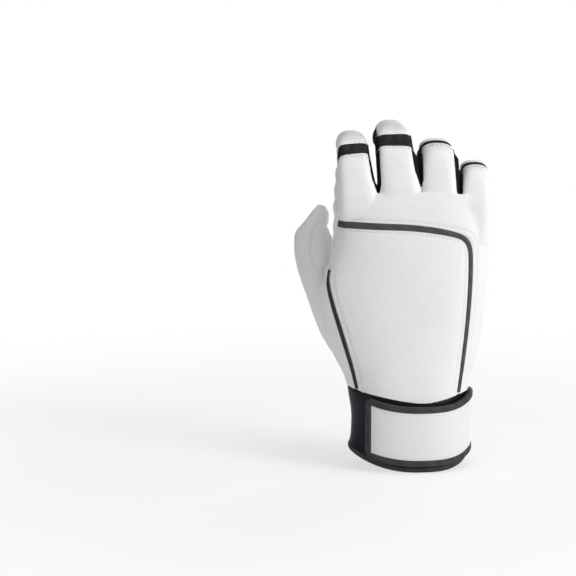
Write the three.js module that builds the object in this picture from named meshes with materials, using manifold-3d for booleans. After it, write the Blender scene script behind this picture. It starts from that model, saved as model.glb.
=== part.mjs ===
// Batting glove for the right hand, standing on its cuff with the fingers in a relaxed curl.
// Units are millimetres. +Z runs from the cuff to the fingertips, -Y is the back of the hand,
// +Y is the palm, +X is the little finger's side and -X is the thumb's side.

import * as THREE from 'three';
import { mergeVertices } from 'three/addons/utils/BufferGeometryUtils.js';
import Module from 'manifold-3d';

const wasm = await Module();
wasm.setup();

// Driving dimensions
const WALL = 1.4; // leather with its backing
const GAP = 0.35; // seam allowance left open between two sewn pieces
const PIPING_RISE = 0.8; // how far the piping stands proud of the leather
const SEAM_DEPTH = 6; // side seam, this far to the palm side of the wrist's middle
const AROUND_HAND = 24; // points round a section of the hand
const AROUND_FINGER = 12; // points round a section of a finger or the thumb
const FAR = 300; // past everything, for cutting regions
const SHORT_EDGE = 0.06; // an edge shorter than this is closed up after a cut
const NEEDLE = 0.012; // a face flatter than this is turned
const SAME_POINT = 1e-4; // points nearer than this are one

// Sections of the hand from the wrist to the roots of the fingers. A tilted section is higher at the back.
const HAND_SECTIONS = [
  { z: 28, left: -36, right: 34, back: -26, front: 26, tilt: 0 },
  { z: 50, left: -37, right: 36, back: -25.5, front: 26, tilt: 0 },
  { z: 66, left: -45, right: 40.5, back: -24, front: 26, tilt: 0 },
  { z: 84, left: -50.5, right: 44, back: -22.5, front: 25, tilt: 0.05 },
  { z: 104, left: -51, right: 46.5, back: -20.5, front: 22.5, tilt: 0.15 },
  { z: 122, left: -47, right: 47.5, back: -17.8, front: 19.5, tilt: 0.35 },
  { z: 140, left: -44.8, right: 48, back: -13.4, front: 17.5, tilt: 0.6 },
  { z: 153, left: -44, right: 47.8, back: -8.4, front: 16.2, tilt: 0.78 },
];
const HAND_SQUARENESS = 2.5;
const HAND_TILT_AT = 2; // the sections tilt about this depth
const HAND_CAP = 2.5; // rounding of the closed upper end

// Fingers: middle line and half widths at the root, at the middle knuckle and at the tip.
// Lengths run from the first knuckle to the middle knuckle, on to the last joint, and on to the tip.
const KNUCKLE_LINE = { y: 1, z: 140 };
const ROOT_ALONG = 10; // where the root's width is taken, past the first knuckle
const ROOT_DEPTH = 13;
const FIRST_BONE_RING = 22; // one more section, between the root and the middle knuckle
const ROOT_TAPER = 0.75; // a finger's end inside the hand is this much slimmer
const MIDDLE_BEND_SPAN = 24; // the length over which the middle knuckle bends, ahead of its band by a lead
const LAST_BEND_SPAN = 14;
const FINGERS = [
  {
    name: 'index',
    x: [-31.8, -34.2, -35.6],
    half: [11.6, 9.5, 8.2],
    lengths: [42, 26, 24],
    bends: [8, 78, 14],
    lead: 0,
    depth: [9.8, 8.2],
    gusset: [-40, FAR],
  },
  {
    name: 'middle',
    x: [-6.6, -9.6, -12],
    half: [12, 10.7, 9],
    lengths: [47.5, 29, 25],
    bends: [9, 74, 17],
    lead: 0,
    depth: [10.4, 8.8],
    gusset: [-FAR, FAR],
  },
  {
    name: 'ring',
    x: [17.6, 16, 15],
    half: [10.6, 10.9, 9],
    lengths: [46, 26, 25],
    bends: [12, 84, 20],
    lead: 5,
    depth: [10.4, 8.8],
    gusset: [-FAR, FAR],
  },
  {
    name: 'pinky',
    x: [38.6, 38.7, 37.8],
    half: [9.2, 9.2, 7.8],
    lengths: [34, 19, 21],
    bends: [14, 86, 20],
    lead: 4.2,
    depth: [9.3, 7.8],
    gusset: [-FAR, 39],
  },
];
const FLEX_BAND = 9.5; // width of the stretch band across the back of a finger
const CREASE = 0.5; // half the opening on the palm side, where the finger folds
const GUSSET = { finger: 4.6, web: 5.1 }; // half widths of the black side strips
const PLAIN_SEAM = 1.5; // where there is no gusset, the side seam is this far to the palm side
const BAND_END = 2.5; // the stretch band ends this far short of the crease
const FOLD_REACH = { palm: 60, back: 45 }; // past a finger on both sides, for the regions beside a fold
// Floor of the slits between the fingers, given by depth and height at its back end and at its palm end
const WEB_FLOOR = { back: [-9, 161], palm: [15, 143], half: 2.6, tall: 11, deep: 5 };
// Places along a finger where its strips and its webs turn, clear of the finger's own sections
const STRIP_STOPS = [0, 7, 13.7, 20.3, 27.1, 33.9, 41.3, 47.1, 53.9, 61.7, 69.3, 77.1];
const STRIP_END = { before: 4, past: 12 }; // about the fingertip
const STRIP_PAST = { palm: 1.6, back: 2 }; // outside the finger
const WEB_STOPS = [7.3, 17.1, 27.7, 34.9, 45.3];

// Thumb: a bent tube from inside the heel of the hand to its tip.
const THUMB_PATH = [
  [-22, 6, 58],
  [-37, 13, 84],
  [-49, 22, 110],
  [-58.2, 29, 131],
  [-54.4, 32.5, 150.5],
];
const THUMB_HALF = [16, 15.5, 12.6, 11.2, 6];
const THUMB_RINGS = [0, 0.2, 0.38, 0.54, 0.66, 0.78]; // shares of its length, below the rounded tip
const THUMB_HINGE = 0.72; // share of the thumb's length where its bend panel lies
const THUMB_PAD = new THREE.Vector3(0.75, 0.66, 0); // the way the thumb bends
const THUMB_CROTCH = 118; // the thumb leaves the hand at this height
const THUMB_FLEX_BAND = 8;

// Cuff and closing strap
const CUFF = { middle: -1, halfWidth: 35, halfDepth: 26, thick: 2.2, squareness: 2.2 };
const CUFF_STEP = 10; // degrees between the points of the bands round the wrist
const STEP_CLEAR = 1; // no point nearer than this to a band's end, in degrees
const CUFF_TOP = { middle: 37, rise: 6, seam: 0.9 }; // the upper edge dips at the middle of both faces
const CUFF_EDGE = { reach: 64, past: 8, steps: 16 }; // the leather's lower edge, level again past the wrist
// The hem is flat where the glove stands and rises to the sides.
const HEM = { base: -3.5, flat: 20, rise: 8, height: 3.6, proud: 0.7 };
const SLIT_AT = 35; // degrees from +X towards the palm
const SLIT_WIDTH = 2.4;
const SLIT_BINDING = { turn: 2.9, gap: 0.5 }; // degrees round the wrist
const STRAP = { end: -128, low: 4, height: 34, border: 4 };
// Offsets from the cuff's outside, inner and outer face of each layer
const LAYER = {
  loop: [0.3, 0.8],
  hook: [1.1, 1.6],
  backing: [1.9, 2.6],
  face: [2.9, 3.5],
  border: [0.5, 3.9],
};
const PATCH = { from: -118, to: -62, inset: 7 };

// Materials, by finish
const finish = (color, roughness) => new THREE.MeshStandardMaterial({ color, roughness, metalness: 0 });
const LEATHER = finish(0xeeeeec, 0.5);
const BAND_FABRIC = finish(0x2c2c2e, 0.8);
const GUSSET_FABRIC = finish(0x141416, 0.85);
const PIPING_TAPE = finish(0x454548, 0.7);
const NEOPRENE = finish(0x161d30, 0.6);
const BINDING_TAPE = finish(0x3c3c3f, 0.8);
const STRAP_FACE = finish(0xf4f4f2, 0.45);
const FASTENER = finish(0x101012, 0.95);

const glove = new THREE.Group();

function addPiece(name, solid, material) {
  const bodies = solid.decompose().sort((a, b) => b.volume() - a.volume());
  const mesh = new THREE.Mesh(geometryOf(bodies[0]), material);
  mesh.name = name;
  glove.add(mesh);
}

// Solids from geometry and back
function solidOf(geometry) {
  const bare = new THREE.BufferGeometry().setAttribute('position', geometry.getAttribute('position'));
  if (geometry.index) bare.setIndex(geometry.index);
  const merged = mergeVertices(bare, SAME_POINT);
  const vertProperties = merged.attributes.position.array;
  const triVerts = new Uint32Array(merged.index.array);
  return new wasm.Manifold(new wasm.Mesh({ numProp: 3, vertProperties, triVerts }));
}

const corners = (face) => face.map((corner, k) => [corner, face[(k + 1) % 3], face[(k + 2) % 3]]);

// An edge too short to matter is drawn together to one point, unless that would pinch the surface.
function closeShortEdges(points, faces) {
  for (;;) {
    const near = points.map(() => new Set());
    faces.forEach((face) => corners(face).forEach(([a, b]) => near[a].add(b)));
    const closes = ([a, b]) =>
      points[a].distanceTo(points[b]) < SHORT_EDGE && [...near[a]].filter((c) => near[b].has(c)).length === 2;
    const short = faces.flatMap(corners).find(closes);
    if (!short) return faces;
    const moved = faces.map((face) => face.map((c) => (c === short[1] ? short[0] : c)));
    faces = moved.filter((face) => new Set(face).size === 3);
  }
}

// A needle, whose third corner all but lies on its long edge, gives that edge up to the face beside it.
function turnNeedles(points, faces) {
  const height = ([a, b, c]) => {
    const edge = points[b].clone().sub(points[a]);
    return edge.clone().cross(points[c].clone().sub(points[a])).length() / edge.length();
  };
  const owners = new Map();
  const own = (i) => corners(faces[i]).forEach(([a, b]) => owners.set(`${a} ${b}`, i));
  faces.forEach((_, i) => own(i));
  faces.forEach((_, i) => {
    const needle = corners(faces[i]).find((edge) => height(edge) < NEEDLE);
    if (!needle) return;
    const [a, b, c] = needle;
    const beside = owners.get(`${b} ${a}`);
    const d = faces[beside].find((corner) => corner !== a && corner !== b);
    if (owners.has(`${c} ${d}`) || owners.has(`${d} ${c}`)) return;
    owners.delete(`${a} ${b}`);
    owners.delete(`${b} ${a}`);
    faces[i] = [a, d, c];
    faces[beside] = [d, b, c];
    own(i);
    own(beside);
  });
  return faces;
}

function geometryOf(solid) {
  const { vertProperties, triVerts } = solid.getMesh();
  const raw = new THREE.BufferGeometry().setIndex([...triVerts]);
  raw.setAttribute('position', new THREE.BufferAttribute(vertProperties, 3));
  const positions = mergeVertices(raw, SAME_POINT);
  const at = positions.getAttribute('position');
  const points = Array.from({ length: at.count }, (_, i) => new THREE.Vector3().fromBufferAttribute(at, i));
  const index = [...positions.index.array];
  const all = Array.from({ length: index.length / 3 }, (_, i) => index.slice(3 * i, 3 * i + 3));
  const whole = all.filter((face) => new Set(face).size === 3);
  const faces = closeShortEdges(points, turnNeedles(points, closeShortEdges(points, whole)));
  return new THREE.BufferGeometry().setFromPoints(points).setIndex(faces.flat());
}

const joined = (solids) => solids.reduce((all, next) => all.add(next));
const without = (solid, cutters) => cutters.reduce((left, cutter) => left.subtract(cutter), solid);

// A closed solid through rings of equal point counts, each running anticlockwise seen from the far end.
function loft(rings) {
  const around = rings[0].length;
  const middle = (ring) => ring.reduce((sum, p) => sum.add(p), new THREE.Vector3()).divideScalar(around);
  const points = [...rings.flat(), middle(rings[0]), middle(rings[rings.length - 1])];
  const faces = [];
  for (let r = 0; r + 1 < rings.length; r++) {
    for (let i = 0; i < around; i++) {
      const a = r * around + i;
      const b = r * around + ((i + 1) % around);
      faces.push(a, b, b + around, a, b + around, a + around);
    }
  }
  const first = rings.length * around;
  for (let i = 0; i < around; i++) {
    const next = (i + 1) % around;
    const last = (rings.length - 1) * around;
    faces.push(first, next, i, first + 1, last + i, last + next);
  }
  const geometry = new THREE.BufferGeometry().setFromPoints(points);
  return solidOf(geometry.setIndex(faces));
}

// A flat outline pushed through space: points are along u and v from the origin, and it runs along u x v.
function prism(points, origin, u, v, from, to) {
  const shape = new THREE.Shape(points.map(([a, b]) => new THREE.Vector2(a, b)));
  const geometry = new THREE.ExtrudeGeometry(shape, { depth: to - from, bevelEnabled: false });
  const normal = new THREE.Vector3().crossVectors(u, v);
  const placed = new THREE.Matrix4().makeBasis(u, v, normal);
  placed.setPosition(origin.clone().addScaledVector(normal, from));
  geometry.applyMatrix4(placed);
  return solidOf(geometry);
}

const X = new THREE.Vector3(1, 0, 0);
const Y = new THREE.Vector3(0, 1, 0);
const Z = new THREE.Vector3(0, 0, 1);
const ORIGIN = new THREE.Vector3();
const throughX = (pointsYZ, x0 = -FAR, x1 = FAR) => prism(pointsYZ, ORIGIN, Y, Z, x0, x1);
const throughY = (pointsXZ, y0 = -FAR, y1 = FAR) => prism(pointsXZ, ORIGIN, X, Z, -y1, -y0);

const blend = (a, b, t) => a + (b - a) * t;
const smooth = (t) => THREE.MathUtils.smoothstep(t, 0, 1);
const rounded = (value, squareness) => Math.sign(value) * Math.abs(value) ** (2 / squareness);

// Hand
function handRing(section, grow) {
  const middleX = (section.left + section.right) / 2;
  const halfX = (section.right - section.left) / 2 + grow;
  return Array.from({ length: AROUND_HAND }, (_, i) => {
    const angle = (2 * Math.PI * i) / AROUND_HAND;
    const across = rounded(Math.sin(angle), HAND_SQUARENESS);
    const depth = (across < 0 ? -section.back : section.front) + grow;
    const y = across * depth;
    const x = middleX + halfX * rounded(Math.cos(angle), HAND_SQUARENESS);
    return new THREE.Vector3(x, y, section.z - section.tilt * (y - HAND_TILT_AT));
  });
}

const hand = (grow) => {
  const top = HAND_SECTIONS[HAND_SECTIONS.length - 1];
  const rings = HAND_SECTIONS.map((s) => handRing(s, grow));
  return loft([...rings, handRing({ ...top, z: top.z + HAND_CAP + grow }, grow - HAND_CAP)]);
};

// Fingers
function bendAt(finger, along) {
  const [knuckle, middle, last] = finger.bends;
  const [first, second] = finger.lengths;
  const atMiddle = smooth((along - first + finger.lead) / MIDDLE_BEND_SPAN + 0.5);
  const atLast = smooth((along - first - second) / LAST_BEND_SPAN + 0.5);
  return THREE.MathUtils.degToRad(knuckle + middle * atMiddle + last * atLast);
}

const fingerLength = (finger) => finger.lengths[0] + finger.lengths[1] + finger.lengths[2];

// The middle line's point, its direction and the way to the palm side, some way past the first knuckle.
function fingerFrame(finger, along) {
  const steps = Math.max(1, Math.ceil(Math.abs(along)));
  let { y, z } = KNUCKLE_LINE;
  for (let i = 0; i < steps; i++) {
    const angle = bendAt(finger, (along * (i + 0.5)) / steps);
    y += (Math.sin(angle) * along) / steps;
    z += (Math.cos(angle) * along) / steps;
  }
  const angle = bendAt(finger, along);
  const [first] = finger.lengths;
  const toKnuckle = THREE.MathUtils.clamp((along - ROOT_ALONG) / (first - ROOT_ALONG), 0, 1);
  const toTip = THREE.MathUtils.clamp((along - first) / (fingerLength(finger) - first), 0, 1);
  const x = blend(blend(finger.x[0], finger.x[1], toKnuckle), finger.x[2], toTip);
  return {
    at: new THREE.Vector3(x, y, z),
    ahead: new THREE.Vector3(0, Math.sin(angle), Math.cos(angle)),
    palm: new THREE.Vector3(0, Math.cos(angle), -Math.sin(angle)),
    half: blend(blend(finger.half[0], finger.half[1], toKnuckle), finger.half[2], toTip),
    depth: blend(blend(ROOT_DEPTH, finger.depth[0], toKnuckle), finger.depth[1], toTip),
  };
}

function tubeRing(frame, side, half, depth) {
  return Array.from({ length: AROUND_FINGER }, (_, i) => {
    const angle = (2 * Math.PI * i) / AROUND_FINGER;
    const point = frame.at.clone().addScaledVector(side, half * Math.cos(angle));
    return point.addScaledVector(frame.palm, depth * Math.sin(angle));
  });
}

// Shares of the fingertip's radius from its end, for the rings that round it off
const TIP_RINGS = [1, 0.55, 0.22, 0.03];

function finger(shape, grow) {
  const [first, second] = shape.lengths;
  const end = fingerLength(shape) + grow;
  const tip = shape.depth[1] + grow;
  const bend = MIDDLE_BEND_SPAN / 2;
  const straight = [ROOT_ALONG, FIRST_BONE_RING];
  const knuckles = [first - bend, first - bend / 2, first, first + bend / 2, first + bend, first + second];
  const inside = fingerFrame(shape, -ROOT_ALONG);
  const root = tubeRing(inside, X, inside.half * ROOT_TAPER + grow, inside.depth * ROOT_TAPER + grow);
  const rings = [...straight, ...knuckles].map((along) => {
    const frame = fingerFrame(shape, along);
    return tubeRing(frame, X, frame.half + grow, frame.depth + grow);
  });
  const dome = TIP_RINGS.map((share) => {
    const frame = fingerFrame(shape, end - tip * share);
    const round = Math.sqrt(1 - (1 - share) ** 2);
    return tubeRing(frame, X, (frame.half + grow) * round, (frame.depth + grow) * round);
  });
  return loft([root, ...rings, ...dome]);
}

// Regions on either side of a fold. They are drawn along palm and ahead from the crease, which is the hinge.
function fold(frame, depth, band) {
  const slope = band / 2 / (2 * depth);
  const open = (f) => CREASE - Math.min(f, 0) * slope;
  const crease = frame.at.clone().addScaledVector(frame.palm, depth);
  const region = (points) => prism(points, crease, frame.palm, frame.ahead, -FAR, FAR);
  const [front, back] = [FOLD_REACH.palm, -FOLD_REACH.back];
  const bandEdge = [-BAND_END, back].map((f) => [f, open(f) - GAP]);
  return {
    crease,
    root: region([[front, -CREASE], [front, -FAR], [back, -FAR], [back, -open(back)], [0, -CREASE]]),
    tip: region([[front, CREASE], [0, CREASE], [back, open(back)], [back, FAR], [front, FAR]]),
    band: region([...bandEdge, ...bandEdge.map(([f, half]) => [f, -half]).reverse()]),
  };
}

const fingerFold = (shape) => {
  const frame = fingerFrame(shape, shape.lengths[0]);
  return fold(frame, frame.depth, FLEX_BAND);
};

// A strip along a finger between two distances from its middle line, towards the palm side.
function strip(shape, low, high, x0, x1) {
  const end = fingerLength(shape);
  const stops = STRIP_STOPS.filter((along) => along < end - STRIP_END.before);
  const ends = [end - STRIP_END.before / 2, end + STRIP_END.past];
  const frames = [...stops, ...ends].map((along) => fingerFrame(shape, along));
  const edge = (away) => frames.map((f) => [f.at.y + f.palm.y * away, f.at.z + f.palm.z * away]);
  return throughX([...edge(high), ...edge(low).reverse()], x0, x1);
}

// Thumb
const thumbCurve = new THREE.CatmullRomCurve3(THUMB_PATH.map((p) => new THREE.Vector3(...p)));

function thumbFrame(share) {
  const ahead = thumbCurve.getTangentAt(share);
  const palm = THUMB_PAD.clone().addScaledVector(ahead, -THUMB_PAD.dot(ahead)).normalize();
  const spot = share * (THUMB_HALF.length - 1);
  const from = Math.min(Math.floor(spot), THUMB_HALF.length - 2);
  const half = blend(THUMB_HALF[from], THUMB_HALF[from + 1], spot - from);
  return { at: thumbCurve.getPointAt(share), ahead, palm, half };
}

function thumb(grow) {
  const tip = (THUMB_HALF[THUMB_HALF.length - 1] + grow) / thumbCurve.getLength();
  const dome = TIP_RINGS.map((share) => 1 + grow / thumbCurve.getLength() - tip * share);
  const end = 1 + grow / thumbCurve.getLength();
  const rings = [...THUMB_RINGS, ...dome].map((share) => {
    const frame = thumbFrame(Math.min(share, 1));
    frame.at.addScaledVector(frame.ahead, Math.max(share - 1, 0) * thumbCurve.getLength());
    const ahead = Math.max(0, 1 - (end - share) / tip);
    const radius = (frame.half + grow) * Math.sqrt(1 - ahead ** 2);
    const side = new THREE.Vector3().crossVectors(frame.palm, frame.ahead);
    return tubeRing(frame, side, radius, radius);
  });
  return loft(rings);
}

const thumbHinge = thumbFrame(THUMB_HINGE);
const thumbFold = fold(thumbHinge, thumbHinge.half, THUMB_FLEX_BAND);

// The thumb's side seam is a slanting plane through its middle line.
function thumbHalves() {
  const [low, high] = [THUMB_PATH[0], THUMB_PATH[THUMB_PATH.length - 1]];
  const slope = (high[1] - low[1]) / (high[2] - low[2]);
  const seam = (z) => low[1] + slope * (z - low[2]) + 1;
  const edge = (away) => [[seam(0) + away, 0], [seam(FAR) + away, FAR]];
  return {
    front: [...edge(GAP / 2), [FAR, FAR], [FAR, 0]],
    back: [...edge(-GAP / 2).reverse(), [-FAR, 0], [-FAR, FAR]],
  };
}

// Leather of the hand: the outside, less the room for a hand, above the cuff's upper edge
const cuffTop = (aside) => CUFF_TOP.middle + CUFF_TOP.rise * (aside / CUFF.halfWidth) ** 2;

function aboveCuff() {
  const { reach, past, steps } = CUFF_EDGE;
  const asides = Array.from({ length: steps + 1 }, (_, i) => blend(-reach, reach, i / steps));
  const height = (aside) => cuffTop(Math.min(Math.abs(aside), CUFF.halfWidth + past)) + CUFF_TOP.seam;
  const edge = asides.map((aside) => [CUFF.middle + aside, height(aside)]);
  return throughY([...edge, [reach, FAR], [-reach, FAR]]);
}

const folds = FINGERS.map(fingerFold);
const roots = (grow) => FINGERS.map((f, i) => finger(f, grow).intersect(folds[i].root));
const handOutside = joined([hand(0), thumb(0).intersect(thumbFold.root), ...roots(0)]);
const room = joined([hand(-WALL), thumb(-WALL), ...FINGERS.map((f) => finger(f, -WALL))]);
const handLeather = handOutside.subtract(room).intersect(aboveCuff());

// Palm side and back side of the hand's leather. Left of the index finger's edge the thumb's seam takes over.
const INDEX_EDGE = -44;
const SEAM_LINE = [[SEAM_DEPTH, 0], [SEAM_DEPTH, 138], [9.5, 195], [9.5, FAR]]; // depth and height
const palmSeam = (away) => SEAM_LINE.map(([y, z]) => [y + away, z]);
const halves = thumbHalves();
const frontRegion = joined([
  throughX([...palmSeam(GAP / 2).reverse(), [FAR, 0], [FAR, FAR]].reverse(), INDEX_EDGE, FAR),
  throughX(halves.front, -FAR, INDEX_EDGE),
]);
const backRegion = joined([
  throughX([...palmSeam(-GAP / 2), [-FAR, FAR], [-FAR, 0]], INDEX_EDGE, FAR),
  throughX(halves.back, -FAR, INDEX_EDGE),
]);

// Black webs in the slits: a strip up the side of each finger and the floor that joins them
function webStrip(shape, x0, x1, grow) {
  const [first, last] = [WEB_STOPS[0] - grow, WEB_STOPS[WEB_STOPS.length - 1] + grow];
  const frames = [first, ...WEB_STOPS.slice(1, -1), last].map((along) => fingerFrame(shape, along));
  const edge = (away) => frames.map((f) => [f.at.y + f.palm.y * away, f.at.z + f.palm.z * away]);
  const reach = GUSSET.web + grow;
  return throughX([...edge(reach), ...edge(-reach).reverse()], x0, x1);
}

const slitMiddle = (left, right) => (left.x[0] + left.half[0] + right.x[0] - right.half[0]) / 2;

function webFloor(left, right, grow) {
  const { back, palm, half, tall, deep } = WEB_FLOOR;
  const middle = slitMiddle(left, right);
  const outline = [
    [palm[0] + grow, palm[1] - deep - grow],
    [palm[0] + grow, palm[1] + tall + grow],
    [back[0] - grow, back[1] + tall + grow],
    [back[0] - grow, back[1] - deep - grow],
  ];
  return throughX(outline, middle - half - grow, middle + half + grow);
}

const webs = [0, 1, 2].map((i) => {
  const [left, right] = [FINGERS[i], FINGERS[i + 1]];
  const middle = slitMiddle(left, right);
  const region = (grow) =>
    joined([
      webStrip(left, left.x[0] - grow, middle, grow),
      webStrip(right, middle, right.x[0] + grow, grow),
      webFloor(left, right, grow),
    ]);
  return { name: `${left.name}_${right.name}_gusset`, piece: region(0), cut: region(GAP) };
});

// Lines of piping on the back, drawn across the hand and up it
function ribbon(points, widths, grow) {
  const curve = new THREE.SplineCurve(points.map(([x, z]) => new THREE.Vector2(x, z)));
  const count = 2 * (points.length - 1);
  const edge = (sign) =>
    Array.from({ length: count + 1 }, (_, i) => {
      const at = curve.getPoint(i / count);
      const along = curve.getTangent(i / count);
      const half = blend(widths[0], widths[1], i / count) / 2 + grow;
      return [at.x - sign * along.y * half, at.y + sign * along.x * half];
    });
  return [...edge(-1), ...edge(1).reverse()];
}

const KNUCKLE_PIPING = [
  [-52, 145.8], [-43, 145.2], [-18, 143.8], [0, 142.6], [16, 140.6], [27, 138.8], [34.6, 136.6],
  [37.6, 131], [37.4, 106], [35.6, 82], [32.6, 58], [29.6, 36],
];
const THUMB_PIPING = [[-49.3, 117.5], [-48.6, 110], [-45, 94], [-39.5, 76], [-34.2, 58.5], [-29.5, 38]];
const PIPING_WIDTH = { knuckle: [3.8, 2.8], thumb: [2.6, 3.2] };
const PIPING_DEPTH = { knuckle: 5, thumb: 14 }; // how far round to the palm side the lines reach
const knucklePiping = (grow) =>
  throughY(ribbon(KNUCKLE_PIPING, PIPING_WIDTH.knuckle, grow), -FAR, PIPING_DEPTH.knuckle);
const thumbPiping = (grow) =>
  throughY(ribbon(THUMB_PIPING, PIPING_WIDTH.thumb, grow), -FAR, PIPING_DEPTH.thumb);

// The middle panel lies under the knuckle piping and between the two side lines.
const centreOutline = [...KNUCKLE_PIPING, ...[...THUMB_PIPING].reverse()];
const centreRegion = throughY(centreOutline, -FAR, PIPING_DEPTH.knuckle);
const THUMB_ROOM = { right: -38, back: 13 }; // above the crotch the thumb lies left of and in front of this
const [[crotchX], [, thumbSideLow]] = [THUMB_PIPING[0], THUMB_PIPING[THUMB_PIPING.length - 1]];
const thumbSideRegion = joined([
  throughY([...THUMB_PIPING, [-FAR, thumbSideLow], [-FAR, THUMB_CROTCH], [crotchX, THUMB_CROTCH]]),
  throughY(
    [[-FAR, THUMB_CROTCH], [THUMB_ROOM.right, THUMB_CROTCH], [THUMB_ROOM.right, FAR], [-FAR, FAR]],
    THUMB_ROOM.back,
    FAR,
  ),
]);
const HEEL_SEAM = [
  [60, 123], [40, 123.5], [28, 122.5], [18.5, 118], [9, 112], [4, 105.5], [0, 94],
  [-5.5, 79], [-11, 67], [-13.7, 55], [-15, 30],
];
const heelCorner = [HEEL_SEAM[0][0], HEEL_SEAM[HEEL_SEAM.length - 1][1]];
const heelRegion = (grow) =>
  throughY([...HEEL_SEAM.map(([x, z]) => [x - grow, z + grow]), heelCorner], 0, FAR);

function addHandLeather() {
  const webCuts = webs.map((web) => web.cut);
  const pipingCuts = [knucklePiping(GAP), thumbPiping(GAP)];
  const back = without(handLeather.intersect(backRegion), [...webCuts, ...pipingCuts]);
  const front = without(handLeather.intersect(frontRegion), webCuts);
  addPiece('back_panel', back.intersect(centreRegion).subtract(thumbSideRegion), LEATHER);
  addPiece('thumb_side_panel', back.intersect(thumbSideRegion), LEATHER);
  addPiece('yoke_panel', without(back, [centreRegion, thumbSideRegion]), LEATHER);
  addPiece('palm_panel', front.subtract(heelRegion(GAP)), LEATHER);
  addPiece('heel_panel', front.intersect(heelRegion(0)), LEATHER);
  webs.forEach((web) => addPiece(web.name, handLeather.intersect(web.piece), GUSSET_FABRIC));
}

function addPiping() {
  const proud = joined([hand(PIPING_RISE), thumb(PIPING_RISE).intersect(thumbFold.root)]);
  const skin = proud.subtract(room).intersect(aboveCuff()).intersect(backRegion);
  const onThumbSide = skin.intersect(thumbPiping(0));
  addPiece('knuckle_piping', skin.intersect(knucklePiping(0)).subtract(thumbPiping(GAP)), PIPING_TAPE);
  addPiece('thumb_piping', onThumbSide, PIPING_TAPE);
}

function addFinger(shape, index) {
  const shell = finger(shape, 0).subtract(finger(shape, -WALL));
  const tip = shell.intersect(folds[index].tip);
  const [from, to] = shape.gusset;
  const edge = GUSSET.finger + GAP;
  const palmDepth = shape.depth[0] + STRIP_PAST.palm;
  const backDepth = ROOT_DEPTH + STRIP_PAST.back;
  const front = [strip(shape, edge, palmDepth, -FAR, FAR)];
  const back = [strip(shape, -backDepth, -edge, -FAR, FAR)];
  // On the side with no gusset the front and the back meet at a plain seam.
  if (from > -FAR || to < FAR) {
    const plain = from > -FAR ? [-FAR, from - GAP] : [to + GAP, FAR];
    front.push(strip(shape, PLAIN_SEAM + GAP / 2, palmDepth, ...plain));
    back.push(strip(shape, -backDepth, PLAIN_SEAM - GAP / 2, ...plain));
  }
  const dark = strip(shape, -GUSSET.finger, GUSSET.finger, from, to);
  addPiece(`${shape.name}_tip_front`, tip.intersect(joined(front)), LEATHER);
  addPiece(`${shape.name}_tip_back`, tip.intersect(joined(back)), LEATHER);
  addPiece(`${shape.name}_tip_gusset`, tip.intersect(dark), GUSSET_FABRIC);
  addPiece(`${shape.name}_flex_band`, shell.intersect(folds[index].band), BAND_FABRIC);
}

function addThumb() {
  const shell = thumb(0).subtract(thumb(-WALL));
  const tip = shell.intersect(thumbFold.tip);
  addPiece('thumb_tip_front', tip.intersect(throughX(halves.front)), LEATHER);
  addPiece('thumb_tip_back', tip.intersect(throughX(halves.back)), LEATHER);
  addPiece('thumb_bend_panel', shell.intersect(thumbFold.band), LEATHER);
}

// Cuff and strap: bands that follow the wrist's section
const radians = THREE.MathUtils.degToRad;

function cuffPoint(degrees, offset, z) {
  const x = CUFF.middle + (CUFF.halfWidth + offset) * rounded(Math.cos(radians(degrees)), CUFF.squareness);
  const y = (CUFF.halfDepth + offset) * rounded(Math.sin(radians(degrees)), CUFF.squareness);
  return new THREE.Vector3(x, y, z);
}

// A band from one angle to another, between two offsets from the wrist, with its edges given by angle.
function cuffBand(from, to, [inner, outer], low, high, shift = 0) {
  const steps = Array.from({ length: 720 / CUFF_STEP + 1 }, (_, i) => (i + shift) * CUFF_STEP - 360);
  const between = steps.filter((at) => at > from + STEP_CLEAR && at < to - STEP_CLEAR);
  const rings = [from, ...between, to].map((at) => [
    cuffPoint(at, inner, low(at)),
    cuffPoint(at, inner, high(at)),
    cuffPoint(at, outer, high(at)),
    cuffPoint(at, outer, low(at)),
  ]);
  return loft(rings);
}

const sideways = (degrees) => Math.abs(cuffPoint(degrees, 0, 0).x - CUFF.middle);
const hemRise = (degrees) => smooth((sideways(degrees) - HEM.flat) / (CUFF.halfWidth - HEM.flat));
const hemAt = (degrees) => HEM.base + HEM.rise * hemRise(degrees);
const cuffTopAt = (degrees) => cuffTop(sideways(degrees));
const above = (edge, by) => (degrees) => edge(degrees) + by;
const slitHalf = (SLIT_WIDTH / 2 / CUFF.halfWidth) * THREE.MathUtils.RAD2DEG;
const [slitEnd, slitStart] = [SLIT_AT + slitHalf, SLIT_AT - slitHalf + 360];

function addCuff() {
  const skin = [-CUFF.thick, 0];
  const { turn, gap } = SLIT_BINDING;
  const aside = turn + gap;
  const band = cuffBand(slitEnd + aside, slitStart - aside, skin, above(hemAt, HEM.height + GAP), cuffTopAt);
  const proud = [-CUFF.thick - HEM.proud, HEM.proud - GAP];
  const hem = cuffBand(slitEnd, slitStart, proud, hemAt, above(hemAt, HEM.height));
  const edge = (from, to) => cuffBand(from, to, proud, above(hemAt, HEM.height + GAP), cuffTopAt);
  addPiece('cuff_band', band, NEOPRENE);
  addPiece('hem_binding', hem, BINDING_TAPE);
  addPiece('slit_binding_palm', edge(slitEnd, slitEnd + turn), BINDING_TAPE);
  addPiece('slit_binding_back', edge(slitStart - turn, slitStart), BINDING_TAPE);
  const [low, high] = [above(strapLow, PATCH.inset), above(strapLow, STRAP.height - PATCH.inset)];
  addPiece('loop_patch', cuffBand(PATCH.from + 360, PATCH.to + 360, LAYER.loop, low, high), FASTENER);
}

const strapLow = above(hemAt, STRAP.low);

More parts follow.
